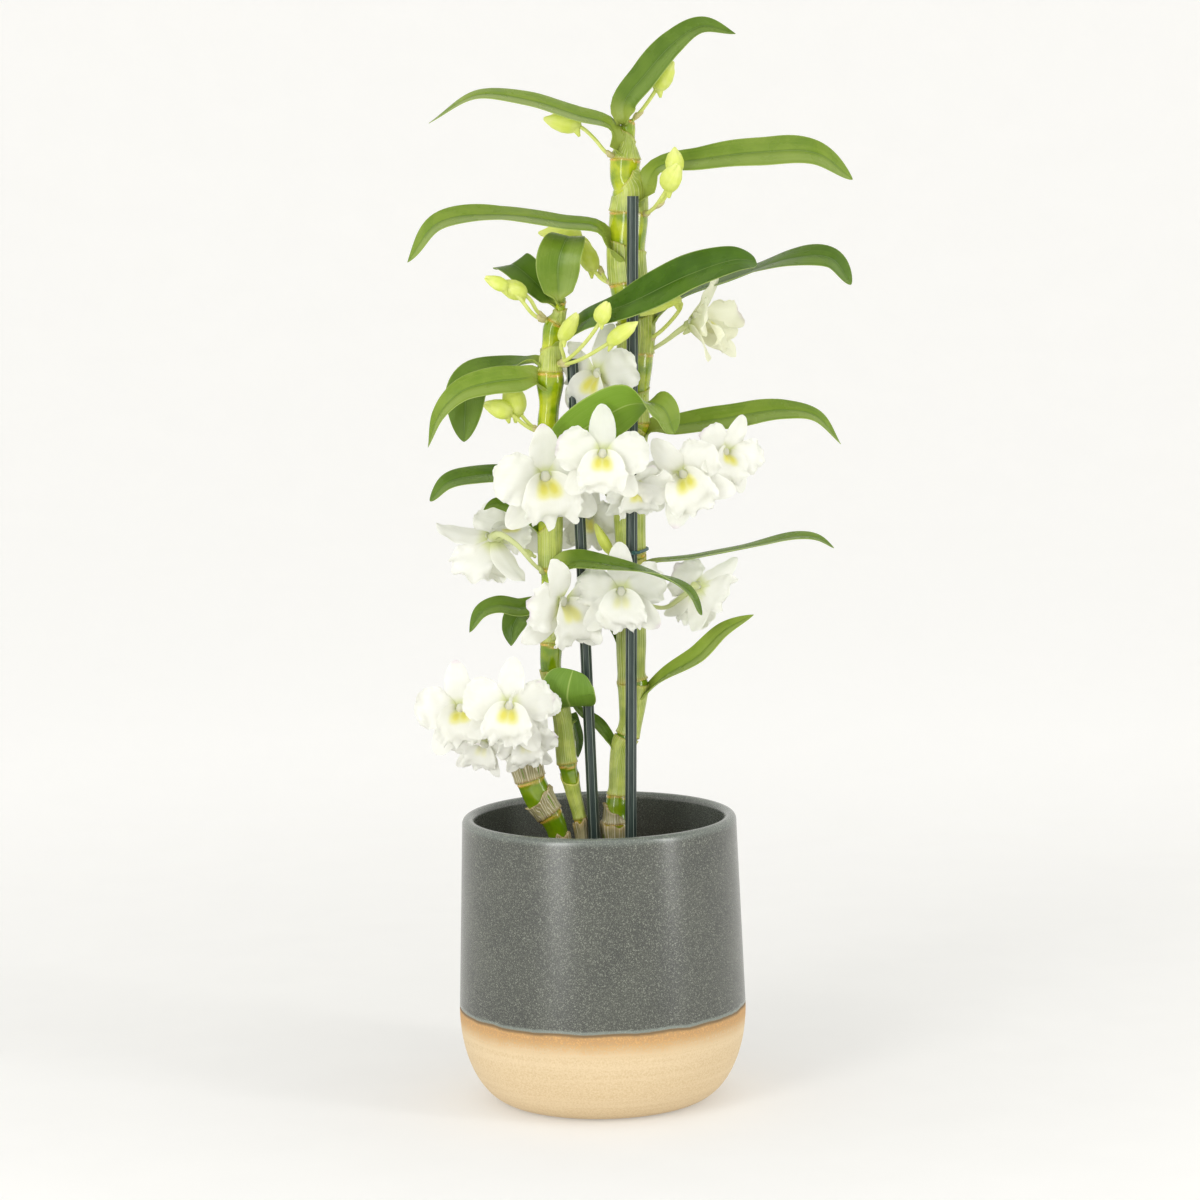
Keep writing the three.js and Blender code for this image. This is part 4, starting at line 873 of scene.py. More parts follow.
def pot_material():
    """Stoneware: dark grey-green glaze with fine pale specks, ending in a brown scorched line above
    sandy raw clay."""
    shader = Shader("stoneware", roughness=0.4, Specular_IOR_Level=1)
    inside, = shader.values("inside")
    place = shader.place()
    height = shader.split(place)[2]
    waver = shader.range(shader.noise(place, 0.07, 3), 0.3, 0.7, -0.5, 0.5, "LINEAR")
    level = shader.math("SUBTRACT", height, waver)
    broad = shader.noise(place, 0.045, 3)
    fine = shader.noise(place, 2.4, 3, 0.7)
    specks = shader.cells(place, 2.2, "Color")
    glaze = shader.blend(broad, 0.3, 0.7, (48, 51, 44), (63, 66, 57))
    glaze = shader.layers(
        glaze,
        ((112, 117, 104), fine, 0.5, 0.7, 0.7),
        ((26, 29, 25), fine, 0.46, 0.3, 0.65),
        ((138, 142, 128), specks, 0.66, 0.9, 0.65),
        ((30, 33, 31), specks, 0.36, 0.12, 0.55),
        ((132, 142, 134), height, POT_HEIGHT - 4.5, POT_HEIGHT - 1.5, 0.35),
        ((140, 150, 140), level, GLAZE_LINE + 2, GLAZE_LINE + 0.6, 0.6),
    )
    sand = shader.noise(place, 1.1, 4, 0.7)
    clay = shader.blend(sand, 0.35, 0.65, (207, 181, 139), (221, 199, 160))
    turned = shader.noise(shader.place((0.02, 0.02, 1)), 0.5, 2)
    clay = shader.layers(
        clay,
        ((229, 208, 172), turned, 0.4, 0.7, 0.3),
        ((150, 100, 58), shader.cells(place, 0.5, "Distance"), 0.1, 0.04, 0.6),
    )
    scorch = shader.blend(sand, 0.3, 0.7, (160, 116, 62), (210, 166, 106))
    burnt = shader.plus(shader.range(level, GLAZE_LINE - 16, GLAZE_LINE - 2),
                        shader.range(sand, 0.3, 0.7, -0.3, 0.3))
    clay = shader.blend(burnt, 0.15, 1.1, clay, scorch)
    clay = shader.layers(clay, ((104, 84, 52), level, GLAZE_LINE - 2.2, GLAZE_LINE - 0.6, 0.9))
    glazed = shader.range(level, GLAZE_LINE - 0.4, GLAZE_LINE + 0.4)
    dull = shader.blend(fine, 0.35, 0.65, (66, 70, 66), (104, 108, 101))
    shade = shader.mix(shader.math("MAXIMUM", glazed, inside), clay, shader.mix(inside, glaze, dull))
    roughness = shader.range(glazed, 0, 1, 0.85, 0.23)
    shader.paint(shade, shader.plus(roughness, shader.range(fine, 0.3, 0.7, -0.03, 0.06)))
    shader.bump(shader.plus(shader.times(fine, 0.6), shader.times(broad, 1.2)), 0.08, 0.5)
    return shader.material


def bark_material():
    """Brown bark, fibrous along each chip, with darker patches and pale scuffs."""
    shader = Shader("bark", roughness=0.88, Specular_IOR_Level=0.2)
    tone, grain = shader.values("tone", "grain")
    rough = shader.noise(shader.place(), 0.45, 4, 0.65)
    fibre = shader.noise(shader.plane(grain, tone, shader.times(rough, 0.3)), 7, 3)
    shade = shader.mix(tone, (70, 44, 28), (128, 84, 52))
    shade = shader.layers(
        shade,
        ((150, 112, 78), fibre, 0.4, 0.7, 0.6),
        ((38, 24, 16), rough, 0.45, 0.3, 0.8),
    )
    shader.paint(shade)
    shader.bump(shader.plus(rough, fibre), 0.8, 0.8)
    return shader.material


# ---------- pot, nursery pot and bark ----------

POT_SIDES = 160
ROUND_SIDES = 96
BED_SIDES = 64
PLASTIC_ROUND = 1.5              # how much the nursery pot's foot is rounded
BARK_PIECES = 190
CHIP_CELLS = 4                   # a chip's cells along each side
CHIP_MARGIN = 50                 # the chips' centres keep within this radius
CHIP_SIZES = ((4, 8.5), (3, 5), (1.4, 2.6))   # half its length, width and thickness, from and to
CHIP_TILT = 0.3                  # radians, as a usual lean
CHIP_SPIRAL = 2.39996            # radians from one chip to the next, which spreads them evenly
BARK_ROOM = 0.6                  # between the bark and the nursery pot


def arc(centre_radius, centre_height, reach, rise, start, end, steps):
    """Points on an ellipse round a centre, from one angle to another (degrees)."""
    angles = np.radians(np.linspace(start, end, steps + 1))
    return [(centre_radius + reach * math.cos(a), centre_height + rise * math.sin(a)) for a in angles]


def straight(start, end, steps):
    """Points between two places, without the places themselves."""
    shares = np.linspace(0, 1, steps + 1)[1:-1]
    return [tuple(np.array(start) + (np.array(end) - start) * share) for share in shares]


def build_cover_pot(material):
    """The cover pot as one turned profile: outside, lip and inside."""
    lip = POT_WALL / 2
    belly_wall = POT_BELLY_RADIUS - POT_WALL
    corner = POT_BELLY_RADIUS - POT_FOOT_RADIUS
    lip_centre = POT_RIM_RADIUS - lip
    floor_corner = POT_FLOOR + POT_INNER_CORNER
    outside = [
        *straight((0, 0), (POT_FOOT_RADIUS, 0), 8),
        *arc(POT_FOOT_RADIUS, POT_BELLY_HEIGHT, corner, POT_BELLY_HEIGHT, -90, 0, 40),
        *straight((POT_BELLY_RADIUS, POT_BELLY_HEIGHT), (POT_RIM_RADIUS, POT_HEIGHT - lip), 50),
        *arc(lip_centre, POT_HEIGHT - lip, lip, lip, 0, 90, 8),
    ]
    within = [
        *arc(lip_centre, POT_HEIGHT - lip, lip, lip, 90, 180, 8)[1:],
        *straight((lip_centre - lip, POT_HEIGHT - lip), (belly_wall, floor_corner), 40),
        *arc(belly_wall - POT_INNER_CORNER, floor_corner, POT_INNER_CORNER, POT_INNER_CORNER, 0, -90, 12),
        *straight((belly_wall - POT_INNER_CORNER, POT_FLOOR), (0, POT_FLOOR), 6),
    ]
    form = Form("inside")
    inside = [0.0] * (len(outside) + 4) + [1.0] * (len(within) - 4)
    close(form, turned(outside + within, POT_SIDES), inside=np.array(inside))
    form.piece("cover_pot_glazed", material, "stoneware", "cover_pot", sharp=40)


def build_nursery_pot(material):
    """The thin nursery pot with its lip and the drain holes in its floor."""
    rim = NURSERY_FOOT + NURSERY_HEIGHT
    floor = NURSERY_FOOT + NURSERY_WALL
    lip_edge = NURSERY_RIM_RADIUS + NURSERY_LIP
    under_lip = rim - NURSERY_LIP * 2
    inner_rim = NURSERY_RIM_RADIUS - NURSERY_WALL
    inner_foot = NURSERY_FOOT_RADIUS - NURSERY_WALL
    above_foot = (NURSERY_FOOT_RADIUS, NURSERY_FOOT + PLASTIC_ROUND)
    profile = [
        *straight((0, NURSERY_FOOT), (NURSERY_FOOT_RADIUS, NURSERY_FOOT), 3),
        (NURSERY_FOOT_RADIUS - PLASTIC_ROUND, NURSERY_FOOT), above_foot,
        *straight(above_foot, (NURSERY_RIM_RADIUS, under_lip), 20),
        (NURSERY_RIM_RADIUS, under_lip), (lip_edge - 0.5, under_lip), (lip_edge, under_lip + 0.6),
        (lip_edge, rim - 1), *arc(lip_edge - 1, rim - 1, 1, 1, 0, 90, 4),
        (inner_rim + 0.4, rim), (inner_rim, rim - 0.5),
        *straight((inner_rim, rim - 0.5), (inner_foot, floor), 20),
        (inner_foot, floor), (NURSERY_FOOT_RADIUS / 2, floor),
    ]
    form = Form()
    close(form, turned(profile, ROUND_SIDES))
    pot = form.piece("nursery_pot_moulded", material, "nursery_plastic", "nursery_pot", sharp=40)
    drills = Form()
    for index in range(DRAIN_HOLES):
        angle = (index + 0.5) / DRAIN_HOLES * TURN
        centre = np.array([DRAIN_HOLE_CIRCLE * math.cos(angle), DRAIN_HOLE_CIRCLE * math.sin(angle), 0])
        ends = [centre + (0, 0, height) for height in (NURSERY_FOOT - 3, floor + 3)]
        tube(drills, ends, DRAIN_HOLE_RADIUS, 32)
    cut(pot, drills.mesh("drain_holes"))


def cut(piece, mesh):
    """Cuts the mesh out of the piece."""
    tool = bpy.data.objects.new(mesh.name, mesh)
    bpy.context.scene.collection.objects.link(tool)
    holes = piece.modifiers.new("holes", "BOOLEAN")
    holes.operation = "DIFFERENCE"
    holes.object = tool
    holes.solver = "EXACT"
    evaluated = piece.evaluated_get(bpy.context.evaluated_depsgraph_get())
    result = bpy.data.meshes.new_from_object(evaluated)
    piece.modifiers.clear()
    piece.data = result
    bpy.data.objects.remove(tool)


def chip_shape():
    """A rounded block's vertices, from -1 to 1 each way, and its faces."""
    steps = np.linspace(-1, 1, CHIP_CELLS + 1)
    u, v = np.meshgrid(steps, steps)
    ones = np.ones_like(u)
    sides = [(ones, u, v), (-ones, v, u), (v, ones, u), (u, -ones, v), (u, v, ones), (v, u, -ones)]
    points = np.vstack([np.stack(side, axis=-1).reshape(-1, 3) for side in sides])
    cells = grid(CHIP_CELLS + 1, CHIP_CELLS + 1)
    faces = np.vstack([cells + index * (CHIP_CELLS + 1) ** 2 for index in range(len(sides))])
    _, first, joined = np.unique(np.round(points, 4), axis=0, return_index=True, return_inverse=True)
    return points[first], joined.ravel()[faces]


def build_bark(material):
    """A bed of bark with rounded chips strewn over it."""
    rng = np.random.default_rng(SEED)
    form = Form("tone", "grain")
    slope = (NURSERY_RIM_RADIUS - NURSERY_FOOT_RADIUS) / NURSERY_HEIGHT
    foot_radius = NURSERY_FOOT_RADIUS - NURSERY_WALL - BARK_ROOM
    top_radius = foot_radius + slope * (BARK_TOP - BARK_FOOT)
    bed = [
        (foot_radius * 0.5, BARK_FOOT), (foot_radius, BARK_FOOT),
        *straight((foot_radius, BARK_FOOT), (top_radius, BARK_TOP - 2), 8),
        (top_radius, BARK_TOP - 2), (top_radius * 0.5, BARK_TOP - 2),
    ]
    close(form, turned(bed, BED_SIDES), tone=0.1)
    block, faces = chip_shape()
    for index in range(BARK_PIECES):
        size = np.array([rng.uniform(*limits) for limits in CHIP_SIZES])
        uneven = Ripple(rng, 1.6)
        worn = block / np.linalg.norm(block, axis=1, keepdims=True) ** 0.35
        worn = worn * (1 + 0.1 * uneven.at(block[:, 0] + block[:, 2], block[:, 1] - block[:, 2]))[:, None]
        worn[:, 1] *= 1 - 0.3 * worn[:, 0] * rng.uniform(-1, 1)
        worn[:, 2] += 0.3 * worn[:, 0] ** 2 * rng.uniform(-1, 1)
        heading = Matrix.Rotation(rng.uniform(0, TURN), 3, "Z")
        lean = [Matrix.Rotation(rng.normal(0, CHIP_TILT), 3, axis) for axis in "XY"]
        angle = index * CHIP_SPIRAL + rng.normal(0, 0.1)
        distance = CHIP_MARGIN * math.sqrt((index + 0.5) / BARK_PIECES)
        centre = (distance * math.cos(angle), distance * math.sin(angle),
                  BARK_TOP - 1.2 + rng.uniform(-1.5, 2.2))
        points = (worn * size) @ np.array(heading @ (lean[0] @ lean[1])).T + centre
        form.add(points, faces, tone=rng.uniform(0, 1), grain=block[:, 1] * 1.5)
    form.piece("bark_chips", material, "bark", "bark_medium", sharp=45)


# ---------- canes, stakes and ties ----------

CANE_STEP = 1.0                  # between the rings of a cane
CANE_SIDES = 40
RADIUS_BLUR = np.linspace(-2.5, 2.5, 11)   # how far away the radii are that one is the mean of
RING_RISE = 0.35                 # how far a node's ring stands out
RING_WIDTH = 0.5
SHEATH_RISE = 0.35
SHEATH_TUCK = 0.5
STAKE_RIBS = 6
TIE_SIDES = 12
TIE_TWISTS = 2.5


def cane_course(name, heights):
    """A cane's centres and radii at the heights. A radius is the mean of a few near by."""
    across, high, radii = np.array(CANES[name], float).T
    depth = np.full(len(high), float(CANE_DEPTHS[name]))
    route = Route(np.stack([across, depth, high], axis=-1)).samples
    centres = followed(heights, route[:, 2], route)
    reach = np.interp(heights[:, None] + RADIUS_BLUR, high, radii)
    return centres, reach.mean(axis=1)


def build_cane(name, material):
    """A cane with a ring at each node, and the sheaths over it."""
    rng = np.random.default_rng(SEED + len(name))
    form = Form("sheath", "dry", "ring", "turn_x", "turn_y")
    low, high = CANES[name][0][1], CANES[name][-1][1]
    heights = np.arange(low, high + CANE_STEP / 2, CANE_STEP)
    centres, radii = cane_course(name, heights)
    turn = full_turn(CANE_SIDES)
    waver = Ripple(rng, 3)
    wavering = heights[:, None] + 0.5 * waver.at(np.cos(turn) + 0 * heights[:, None], np.sin(turn) * 1.3)
    near = np.abs(wavering[..., None] - np.array(NODE_RINGS[name])).min(axis=-1)
    ring = np.exp(-(near / RING_WIDTH) ** 2)
    ribs = 0.1 * np.sin(turn * 7 + 1) + 0.07 * np.sin(turn * 13)
    tube(form, centres, radii[:, None] + RING_RISE * ring + ribs, CANE_SIDES, ring=ring,
         turn_x=np.cos(turn)[None], turn_y=np.sin(turn)[None])
    for sheath in SHEATHS[name]:
        add_sheath(form, name, *sheath, rng)
    form.piece(name + "_sheathed", material, "cane", name)


def add_sheath(form, name, start, end, dry, slant, heading, rng):
    """A thin sleeve over a cane, with a slanting, torn mouth and fine pleats."""
    turn = full_turn(CANE_SIDES)
    heights = np.linspace(start, end, max(6, int((end - start) / CANE_STEP)))
    centres, radii = cane_course(name, heights)
    share = np.linspace(0, 1, len(heights))[:, None]
    tear = Ripple(rng, 1.0 if dry > 0.6 else 1.8)
    jag = (0.4 + 0.9 * dry) * tear.at(np.cos(turn) * 1.2, np.sin(turn) * 1.2)
    mouth = slant * np.cos(turn - math.radians(heading)) + jag
    slide = mouth * smooth(0.4, 1, share)
    swell = RING_RISE * np.exp(-((heights[:, None] - start) / 1.2) ** 2)
    pleats = (0.12 + 0.25 * dry) * np.sin(turn * 11 + 2 * share)
    flare = (0.25 + 0.5 * dry) * smooth(0.8, 1, share) ** 2
    reach = radii[:, None] + SHEATH_RISE + swell + pleats + flare
    # The sleeve's first and last rings are tucked under the cane's skin.
    tucked = np.vstack([radii[0] - SHEATH_TUCK + 0 * turn, reach, radii[-1] - SHEATH_TUCK + 0 * turn])
    slide = np.vstack([slide[:1], slide, slide[-1:] - 0.6])
    lined = np.vstack([centres[:1], centres, centres[-1:]])
    ahead = unit(np.gradient(centres, axis=0))
    lined[0] -= ahead[0] * 0.2
    lined[-1] += ahead[-1] * 0.02
    along = np.concatenate([[0], share.ravel(), [1]])[:, None]
    ring = np.maximum(0.25 * smooth(0.93, 1.0, along), 0.35 * smooth(0.05, 0.0, along))
    tube(form, lined, tucked, CANE_SIDES, slide=slide, sheath=1, dry=dry, ring=ring,
         turn_x=np.cos(turn)[None], turn_y=np.sin(turn)[None])


def build_stake(name, material):
    """A plastic stake with ribs along it."""
    form = Form("rib")
    route = Route(STAKES[name])
    shares = np.linspace(0, 1, 60)
    sides = STAKE_RIBS * 8
    turn = full_turn(sides)
    rib = np.maximum(np.cos(turn * STAKE_RIBS), 0) ** 8
    reach = STAKE_RADIUS * 0.93 + STAKE_RADIUS * 0.07 * rib
    tube(form, route.at(shares), reach[None], sides, rib=rib[None])
    form.piece(name + "_ribbed", material, "stake_plastic", name, sharp=60)


def build_tie(name, material):
    """A wire wound once round a cane and its stake, with its two ends twisted together."""
    tie = TIES[name]
    cane, stake, turn = np.array(tie["cane"]), np.array(tie["stake"]), tie["turn"]
    room = 0.3 + TIE_RADIUS * 1.35
    to_stake = math.atan2(*(stake - cane)[::-1])

    def bent(centre, radius, start, end, steps, rise):
        angles = to_stake + np.linspace(start, end, steps + 1)
        reach = radius + room
        return [(centre[0] + reach * math.cos(angle), centre[1] + reach * math.sin(angle),
                 tie["height"] + rise * index) for index, angle in enumerate(angles)]

    quarter = math.pi / 2
    loop = [
        *bent(stake, STAKE_RADIUS, turn, quarter, 4, 0),
        *bent(cane, tie["cane_radius"], quarter + 0.15, 3 * quarter - 0.15, 5, 0.2),
        *bent(stake, STAKE_RADIUS, -quarter, turn - 0.75, 2, 0.5),
    ]
    start = np.array(loop[0])
    tail = np.array([*(2 * start[:2] - stake), tie["height"] + 0.5])
    route = Route([tail, *loop])
    form = Form()
    flat = TIE_RADIUS * (0.75 + 0.35 * np.abs(np.sin(full_turn(TIE_SIDES))))
    tube(form, route.at(np.linspace(0, 1, 120)), flat[None], TIE_SIDES)
    steps = np.linspace(0, 1, 60)
    end = tail + (tail - start) * 0.6
    sideways = unit(np.cross(end - start, (0, 0, 1)))
    for strand in (0, math.pi):
        angle = strand + steps * TURN * TIE_TWISTS
        twist = np.outer(np.cos(angle), sideways) + np.outer(np.sin(angle), (0, 0, 1))
        tube(form, start + np.outer(steps, end - start) + twist * 0.55, 0.5, 8, hint=(0, 0, 1))
    form.piece(name + "_twisted", material, "tie_wire", name)


# ---------- leaves ----------

LEAF_THICKNESS = 0.8
LEAF_COLUMNS = 25
LEAF_ROWS = 56
LEAF_FOLD = 0.12                 # for a leaf that doesn't give its own
MIDRIB_DEPTH = 0.35
MIDRIB_WIDTH = 1.1
LEAF_CREASE = 0.02               # softens the fold along the midrib
LEAF_WAVE = 0.055                # how far the edge waves, beside half the width
FLUTTER = 0.02                   # the same for the finer waves
FLUTTER_LENGTH = 5
CLASP_DROP = 1.3                 # how far below its foot a leaf starts to clasp its cane, in cane radii
CLASP_RISE = np.array([-1.6, -0.9, 0.7])   # how far outside the cane's skin it lies, from there up
CLASP_TURN = 1                   # radians round the cane from the leaf's midrib to its edge


def clasped(blade):
    """The blade with its foot led up along its cane, from below, before it bends away."""
    foot = np.array(blade["route"][0], float)
    courses = [(name, *cane_course(name, foot[2:])) for name in CANES]
    cane, _, radius = min(courses, key=lambda course: np.linalg.norm(course[1][0] - foot))
    centres, radii = cane_course(cane, foot[2] - CLASP_DROP * radius * np.array([1, 0.5, 0]))
    outward = np.array(blade["route"][1], float) - foot
    outward[2] = 0
    outward = unit(outward)
    drops = centres + outward * (radii + CLASP_RISE)[:, None]
    route = [*drops, *blade["route"][1:]]
    whole = Route(route)
    held = np.linalg.norm(np.diff(drops, axis=0), axis=1).sum() / whole.length
    faces = [-outward, *blade["faces"]]
    turns = [0, *np.linspace(held * 1.3, 1, len(blade["faces"]))]
    return {**blade, "route": route, "faces": faces, "turns": turns, "held": held,
            "hold": radii.mean() + CLASP_RISE[1]}


def leaf_shaping(blade, rng):
    """Folds a leaf along its midrib, waves its edge, and wraps its foot round the cane."""
    waves = rng.uniform(0.8, 1.6)
    phase = rng.uniform(0, TURN)
    lean = rng.uniform(-1.2, 1.2)

    def shaping(across, along, half, length):
        outward = np.sqrt(across ** 2 + LEAF_CREASE) - math.sqrt(LEAF_CREASE)
        fold = blade.get("fold", LEAF_FOLD) * half * outward
        groove = -MIDRIB_DEPTH * np.exp(-(across * half / MIDRIB_WIDTH) ** 2) * (1 - along ** 6)
        wave = LEAF_WAVE * half * across ** 2 * np.sin(along * TURN * waves + phase + lean * across)
        flutter = FLUTTER * half * across ** 4 * np.sin(along * length / FLUTTER_LENGTH + phase * 2)
        clasp = smooth(blade["held"] * 2.4, blade["held"] * 0.7, along)
        free = smooth(0, blade["held"] * 1.6, along)
        turn = across * (CLASP_TURN + (half / blade["hold"] - CLASP_TURN) * free)
        sideways = across * half * (1 - clasp) + blade["hold"] * np.sin(turn) * clasp
        lift = (fold + groove + wave + flutter) * (1 - clasp) + blade["hold"] * (1 - np.cos(turn)) * clasp
        return sideways, lift, 0 * across

    return shaping


def build_leaf(name, material, rng):
    blade = clasped(LEAVES[name])
    form = Form("across", "along", "under", "light", "near")
    near = math.copysign(1, blade["route"][-1][0] - blade["route"][0][0])
    add_blade(form, blade, LEAF_COLUMNS, LEAF_ROWS, LEAF_THICKNESS, leaf_shaping(blade, rng),
              light=blade["light"], near=lambda across, along: near * across)
    form.piece(name + "_veined", material, "leaf", name)


# ---------- blooms ----------

PETAL_THICKNESS = 0.5
NOTCH_RADIUS = 2.4               # from the bloom's middle to its petals' feet
# A blade's foot and reach from the bloom's middle, its outline, how steeply it rises at its foot and at
# its tip (degrees), how far its foot is sunk, and how strongly its margin waves.
SEPAL = dict(foot=NOTCH_RADIUS, reach=27, width=14, peak=0.4, neck=0.45, round=0.55, fold=0.08,
             rise=(22, -6), sink=-0.7, ruffle=0.5, frill=0, scallop=0.05, columns=19, rows=30)
PETAL = dict(foot=NOTCH_RADIUS, reach=25, width=23, peak=0.6, neck=0.25, round=0.5, fold=0.06,
             rise=(18, -12), sink=0.5, ruffle=2.2, frill=0.35, scallop=0.28, columns=27, rows=30)
LIP = dict(foot=0.8, reach=24, width=26, peak=0.54, neck=0.5, round=0.45, rise=(62, -40), sink=0,
           ruffle=2.1, frill=0.55, scallop=0.5, columns=37, rows=44)
OUTER_BLADES = [PETAL, SEPAL, PETAL, SEPAL, SEPAL]
OUTER_ANGLES = [17, 90, 163, 225, 315]
LIP_ANGLE = 270
ANGLE_SPREAD = 5                 # a petal's usual turn away from its angle, in degrees
CUP_SPREAD = 8                   # the same for how far it is folded forward
PETAL_CREASE = 0.05              # softens the fold along the middle
MIDVEIN_DEPTH = 0.2
MIDVEIN_WIDTH = 0.9
LIP_WRAP = (2.3, 0.4)            # radians from the lip's middle to its edge, at its foot and past WRAP_END
WRAP_END = 0.42
OVARY_LENGTH = 3
STALK_RADIUS = 1
OVARY_RADIUS = 1.8
BRACT_LENGTH = 4.5
BRACT_RADIUS = 1.5
BRACT_OUTLINE = ((0, 0.7), (0.3, 1), (0.85, 1.1), (1, 0.7))
COLUMN_OUTLINE = ((0, 2.9), (0.35, 2.75), (0.6, 2.4), (0.8, 1.85), (0.93, 1.2), (1, 0.6))
CUP_OUTLINE = ((0, 2.3), (0.3, 2.7), (1, 1.5))
SPUR_OUTLINE = ((0, 2), (0.5, 1.3), (1, 0.5))


def bloom_place(bloom):
    """A function that moves points from the bloom's own frame to where the bloom is."""
    ahead = unit(np.array(bloom["faces"], float))
    right = unit(np.cross(bloom["top"], ahead))
    up = np.cross(ahead, right)
    axes = np.array([right, up, ahead]) * bloom["size"]
    return lambda points: points @ axes + bloom["throat"]


def bloom_blade(part, angle, cup):
    """A sepal, petal or lip as a blade in the bloom's own frame."""
    steps = 3
    turn = math.radians(angle)
    outward = np.array([math.cos(turn), math.sin(turn), 0])
    stride = (part["reach"] - part["foot"]) / steps
    route = [outward * part["foot"] + (0, 0, part["sink"])]
    for step in range(steps):
        start, end = part["rise"]
        elevation = math.radians(start + (end - start) * step / (steps - 1) + cup)
        route.append(route[-1] + stride * (outward * math.cos(elevation) + (0, 0, math.sin(elevation))))
    inward = (-0.3 * outward[0], -0.3 * outward[1], 1)
    width = part["width"] * math.cos(math.radians(cup)) ** 1.2
    return {**part, "width": width, "route": route, "faces": [inward, inward]}


def margin(across, along):
    """How near a place is to the blade's edge or tip, from 0 to 1."""
    return 1 - (1 - np.abs(across)) * (1 - along ** 3)


def scalloped(blade, rng):
    """How far the blade's margin is pushed out by fine scallops, at a place in millimetres."""
    fine = Ripple(rng, 3.2)
    broad = Ripple(rng, 8)
    return lambda x, y, edge: blade["scallop"] * edge ** 6 * (fine.at(x, y) + broad.at(x, y))


def petal_shaping(blade, rng):
    """Ruffles and scallops a sepal or petal, and bows it a little."""
    ruffle = Ripple(rng, 9)
    frill = Ripple(rng, 3)
    scallop = scalloped(blade, rng)
    bow = rng.uniform(-0.8, 0.8)

    def shaping(across, along, half, length):
        x, y = across * half, along * length
        outward = np.sqrt(across ** 2 + PETAL_CREASE) - math.sqrt(PETAL_CREASE)
        edge = margin(across, along)
        lift = blade["fold"] * half * outward - MIDVEIN_DEPTH * np.exp(-(x / MIDVEIN_WIDTH) ** 2)
        lift += blade["ruffle"] * edge ** 2.5 * ruffle.at(x, y) * smooth(0, 0.5, along)
        lift += blade["frill"] * edge ** 8 * frill.at(x, y) * smooth(0.2, 0.6, along)
        lift += bow * np.sin(along * math.pi)
        out = scallop(x, y, edge) * smooth(0.2, 0.5, along)
        return x + out * across, lift, out * along ** 3

    return shaping


def lip_shaping(blade, rng):
    """Wraps the lip's foot into a throat and spreads its ruffled front."""
    ruffle = Ripple(rng, 7)
    frill = Ripple(rng, 2.4)
    scallop = scalloped(blade, rng)

    def shaping(across, along, half, length):
        x, y = across * half, along * length
        edge = margin(across, along)
        wrap = LIP_WRAP[0] + (LIP_WRAP[1] - LIP_WRAP[0]) * smooth(0, WRAP_END, along)
        radius = half / wrap
        lift = radius * (1 - np.cos(across * wrap))
        lift += blade["ruffle"] * edge ** 3 * ruffle.at(x, y) * smooth(0.3, 0.65, along)
        lift += blade["frill"] * edge ** 8 * frill.at(x, y) * smooth(0.3, 0.6, along)
        out = scallop(x, y, edge) * smooth(0.25, 0.5, along)
        return radius * np.sin(across * wrap) + out * across, lift, out * along ** 3

    return shaping


def lip_blotch(across, along):
    """The yellow in the lip's throat, deepest to either side of a paler line."""
    zone = 0.68 * np.exp(-(across / 0.5) ** 4 - ((along - 0.22) / 0.24) ** 4)
    pair = 0.5 * np.exp(-((np.abs(across) - 0.2) / 0.18) ** 2 - ((along - 0.27) / 0.15) ** 2)
    pale = 1 - 0.15 * np.exp(-(across / 0.08) ** 2)
    return np.clip((zone + pair) * pale, 0, 1)


def add_bloom(form, bloom, rng):
    """A bloom: five outer blades, the lip, what its throat holds, and its stalk."""
    own = Moved(form, bloom_place(bloom))
    thickness = PETAL_THICKNESS / bloom["size"]
    lilac_blade = rng.integers(0, 5)
    young = bloom.get("young", 0)
    for index, (part, angle) in enumerate(zip(OUTER_BLADES, bloom.get("angles", OUTER_ANGLES))):
        cup = bloom.get("sepals", bloom["cup"]) if part is SEPAL else bloom["cup"]
        angle += rng.normal(0, ANGLE_SPREAD)
        blade = bloom_blade(part, angle, cup + rng.normal(0, CUP_SPREAD))
        tint = 0.7 if index == lilac_blade else 0
        add_blade(own, blade, part["columns"], part["rows"], thickness, petal_shaping(blade, rng),
                  young=young, green=lambda across, along: 0.75 * smooth(0.3, 0, along),
                  lilac=lambda across, along: tint * smooth(0.85, 1, along))
    lip = bloom_blade(LIP, LIP_ANGLE, bloom["cup"])
    yellow = bloom.get("yellow", 1)
    add_blade(own, lip, LIP["columns"], LIP["rows"], thickness, lip_shaping(lip, rng),
              young=young, green=lambda across, along: 0.3 * smooth(0.2, 0, along),
              blotch=lambda across, along: yellow * lip_blotch(across, along))
    add_column(own)
    add_stalk(form, bloom)


def add_column(form):
    """The low column in the throat with its anther, the cup that holds the sepals, and the spur."""
    share = np.linspace(0, 1, 14)
    height = np.linspace(-0.6, 1.5, 14)
    centres = np.stack([0 * height, 0.9 + 0 * height, height], axis=-1)
    swell = outline(COLUMN_OUTLINE, share)
    tube(form, centres, swell, 14, green=0.2 * (1 - share), anther=0.15 * smooth(0.72, 0.86, share))
    share = np.linspace(0, 1, 10)
    depth = np.linspace(0.9, -3.4, 10)
    centres = np.stack([0 * depth, 0 * depth, depth], axis=-1)
    tube(form, centres, outline(CUP_OUTLINE, share), 14, green=0.45 + 0.4 * share)
    share = np.linspace(0, 1, 8)
    centres = np.stack([0 * share, -1.2 - 3 * share, -0.8 - 3.4 * share ** 1.5], axis=-1)
    tube(form, centres, outline(SPUR_OUTLINE, share), 10, green=0.6 + 0.2 * share)


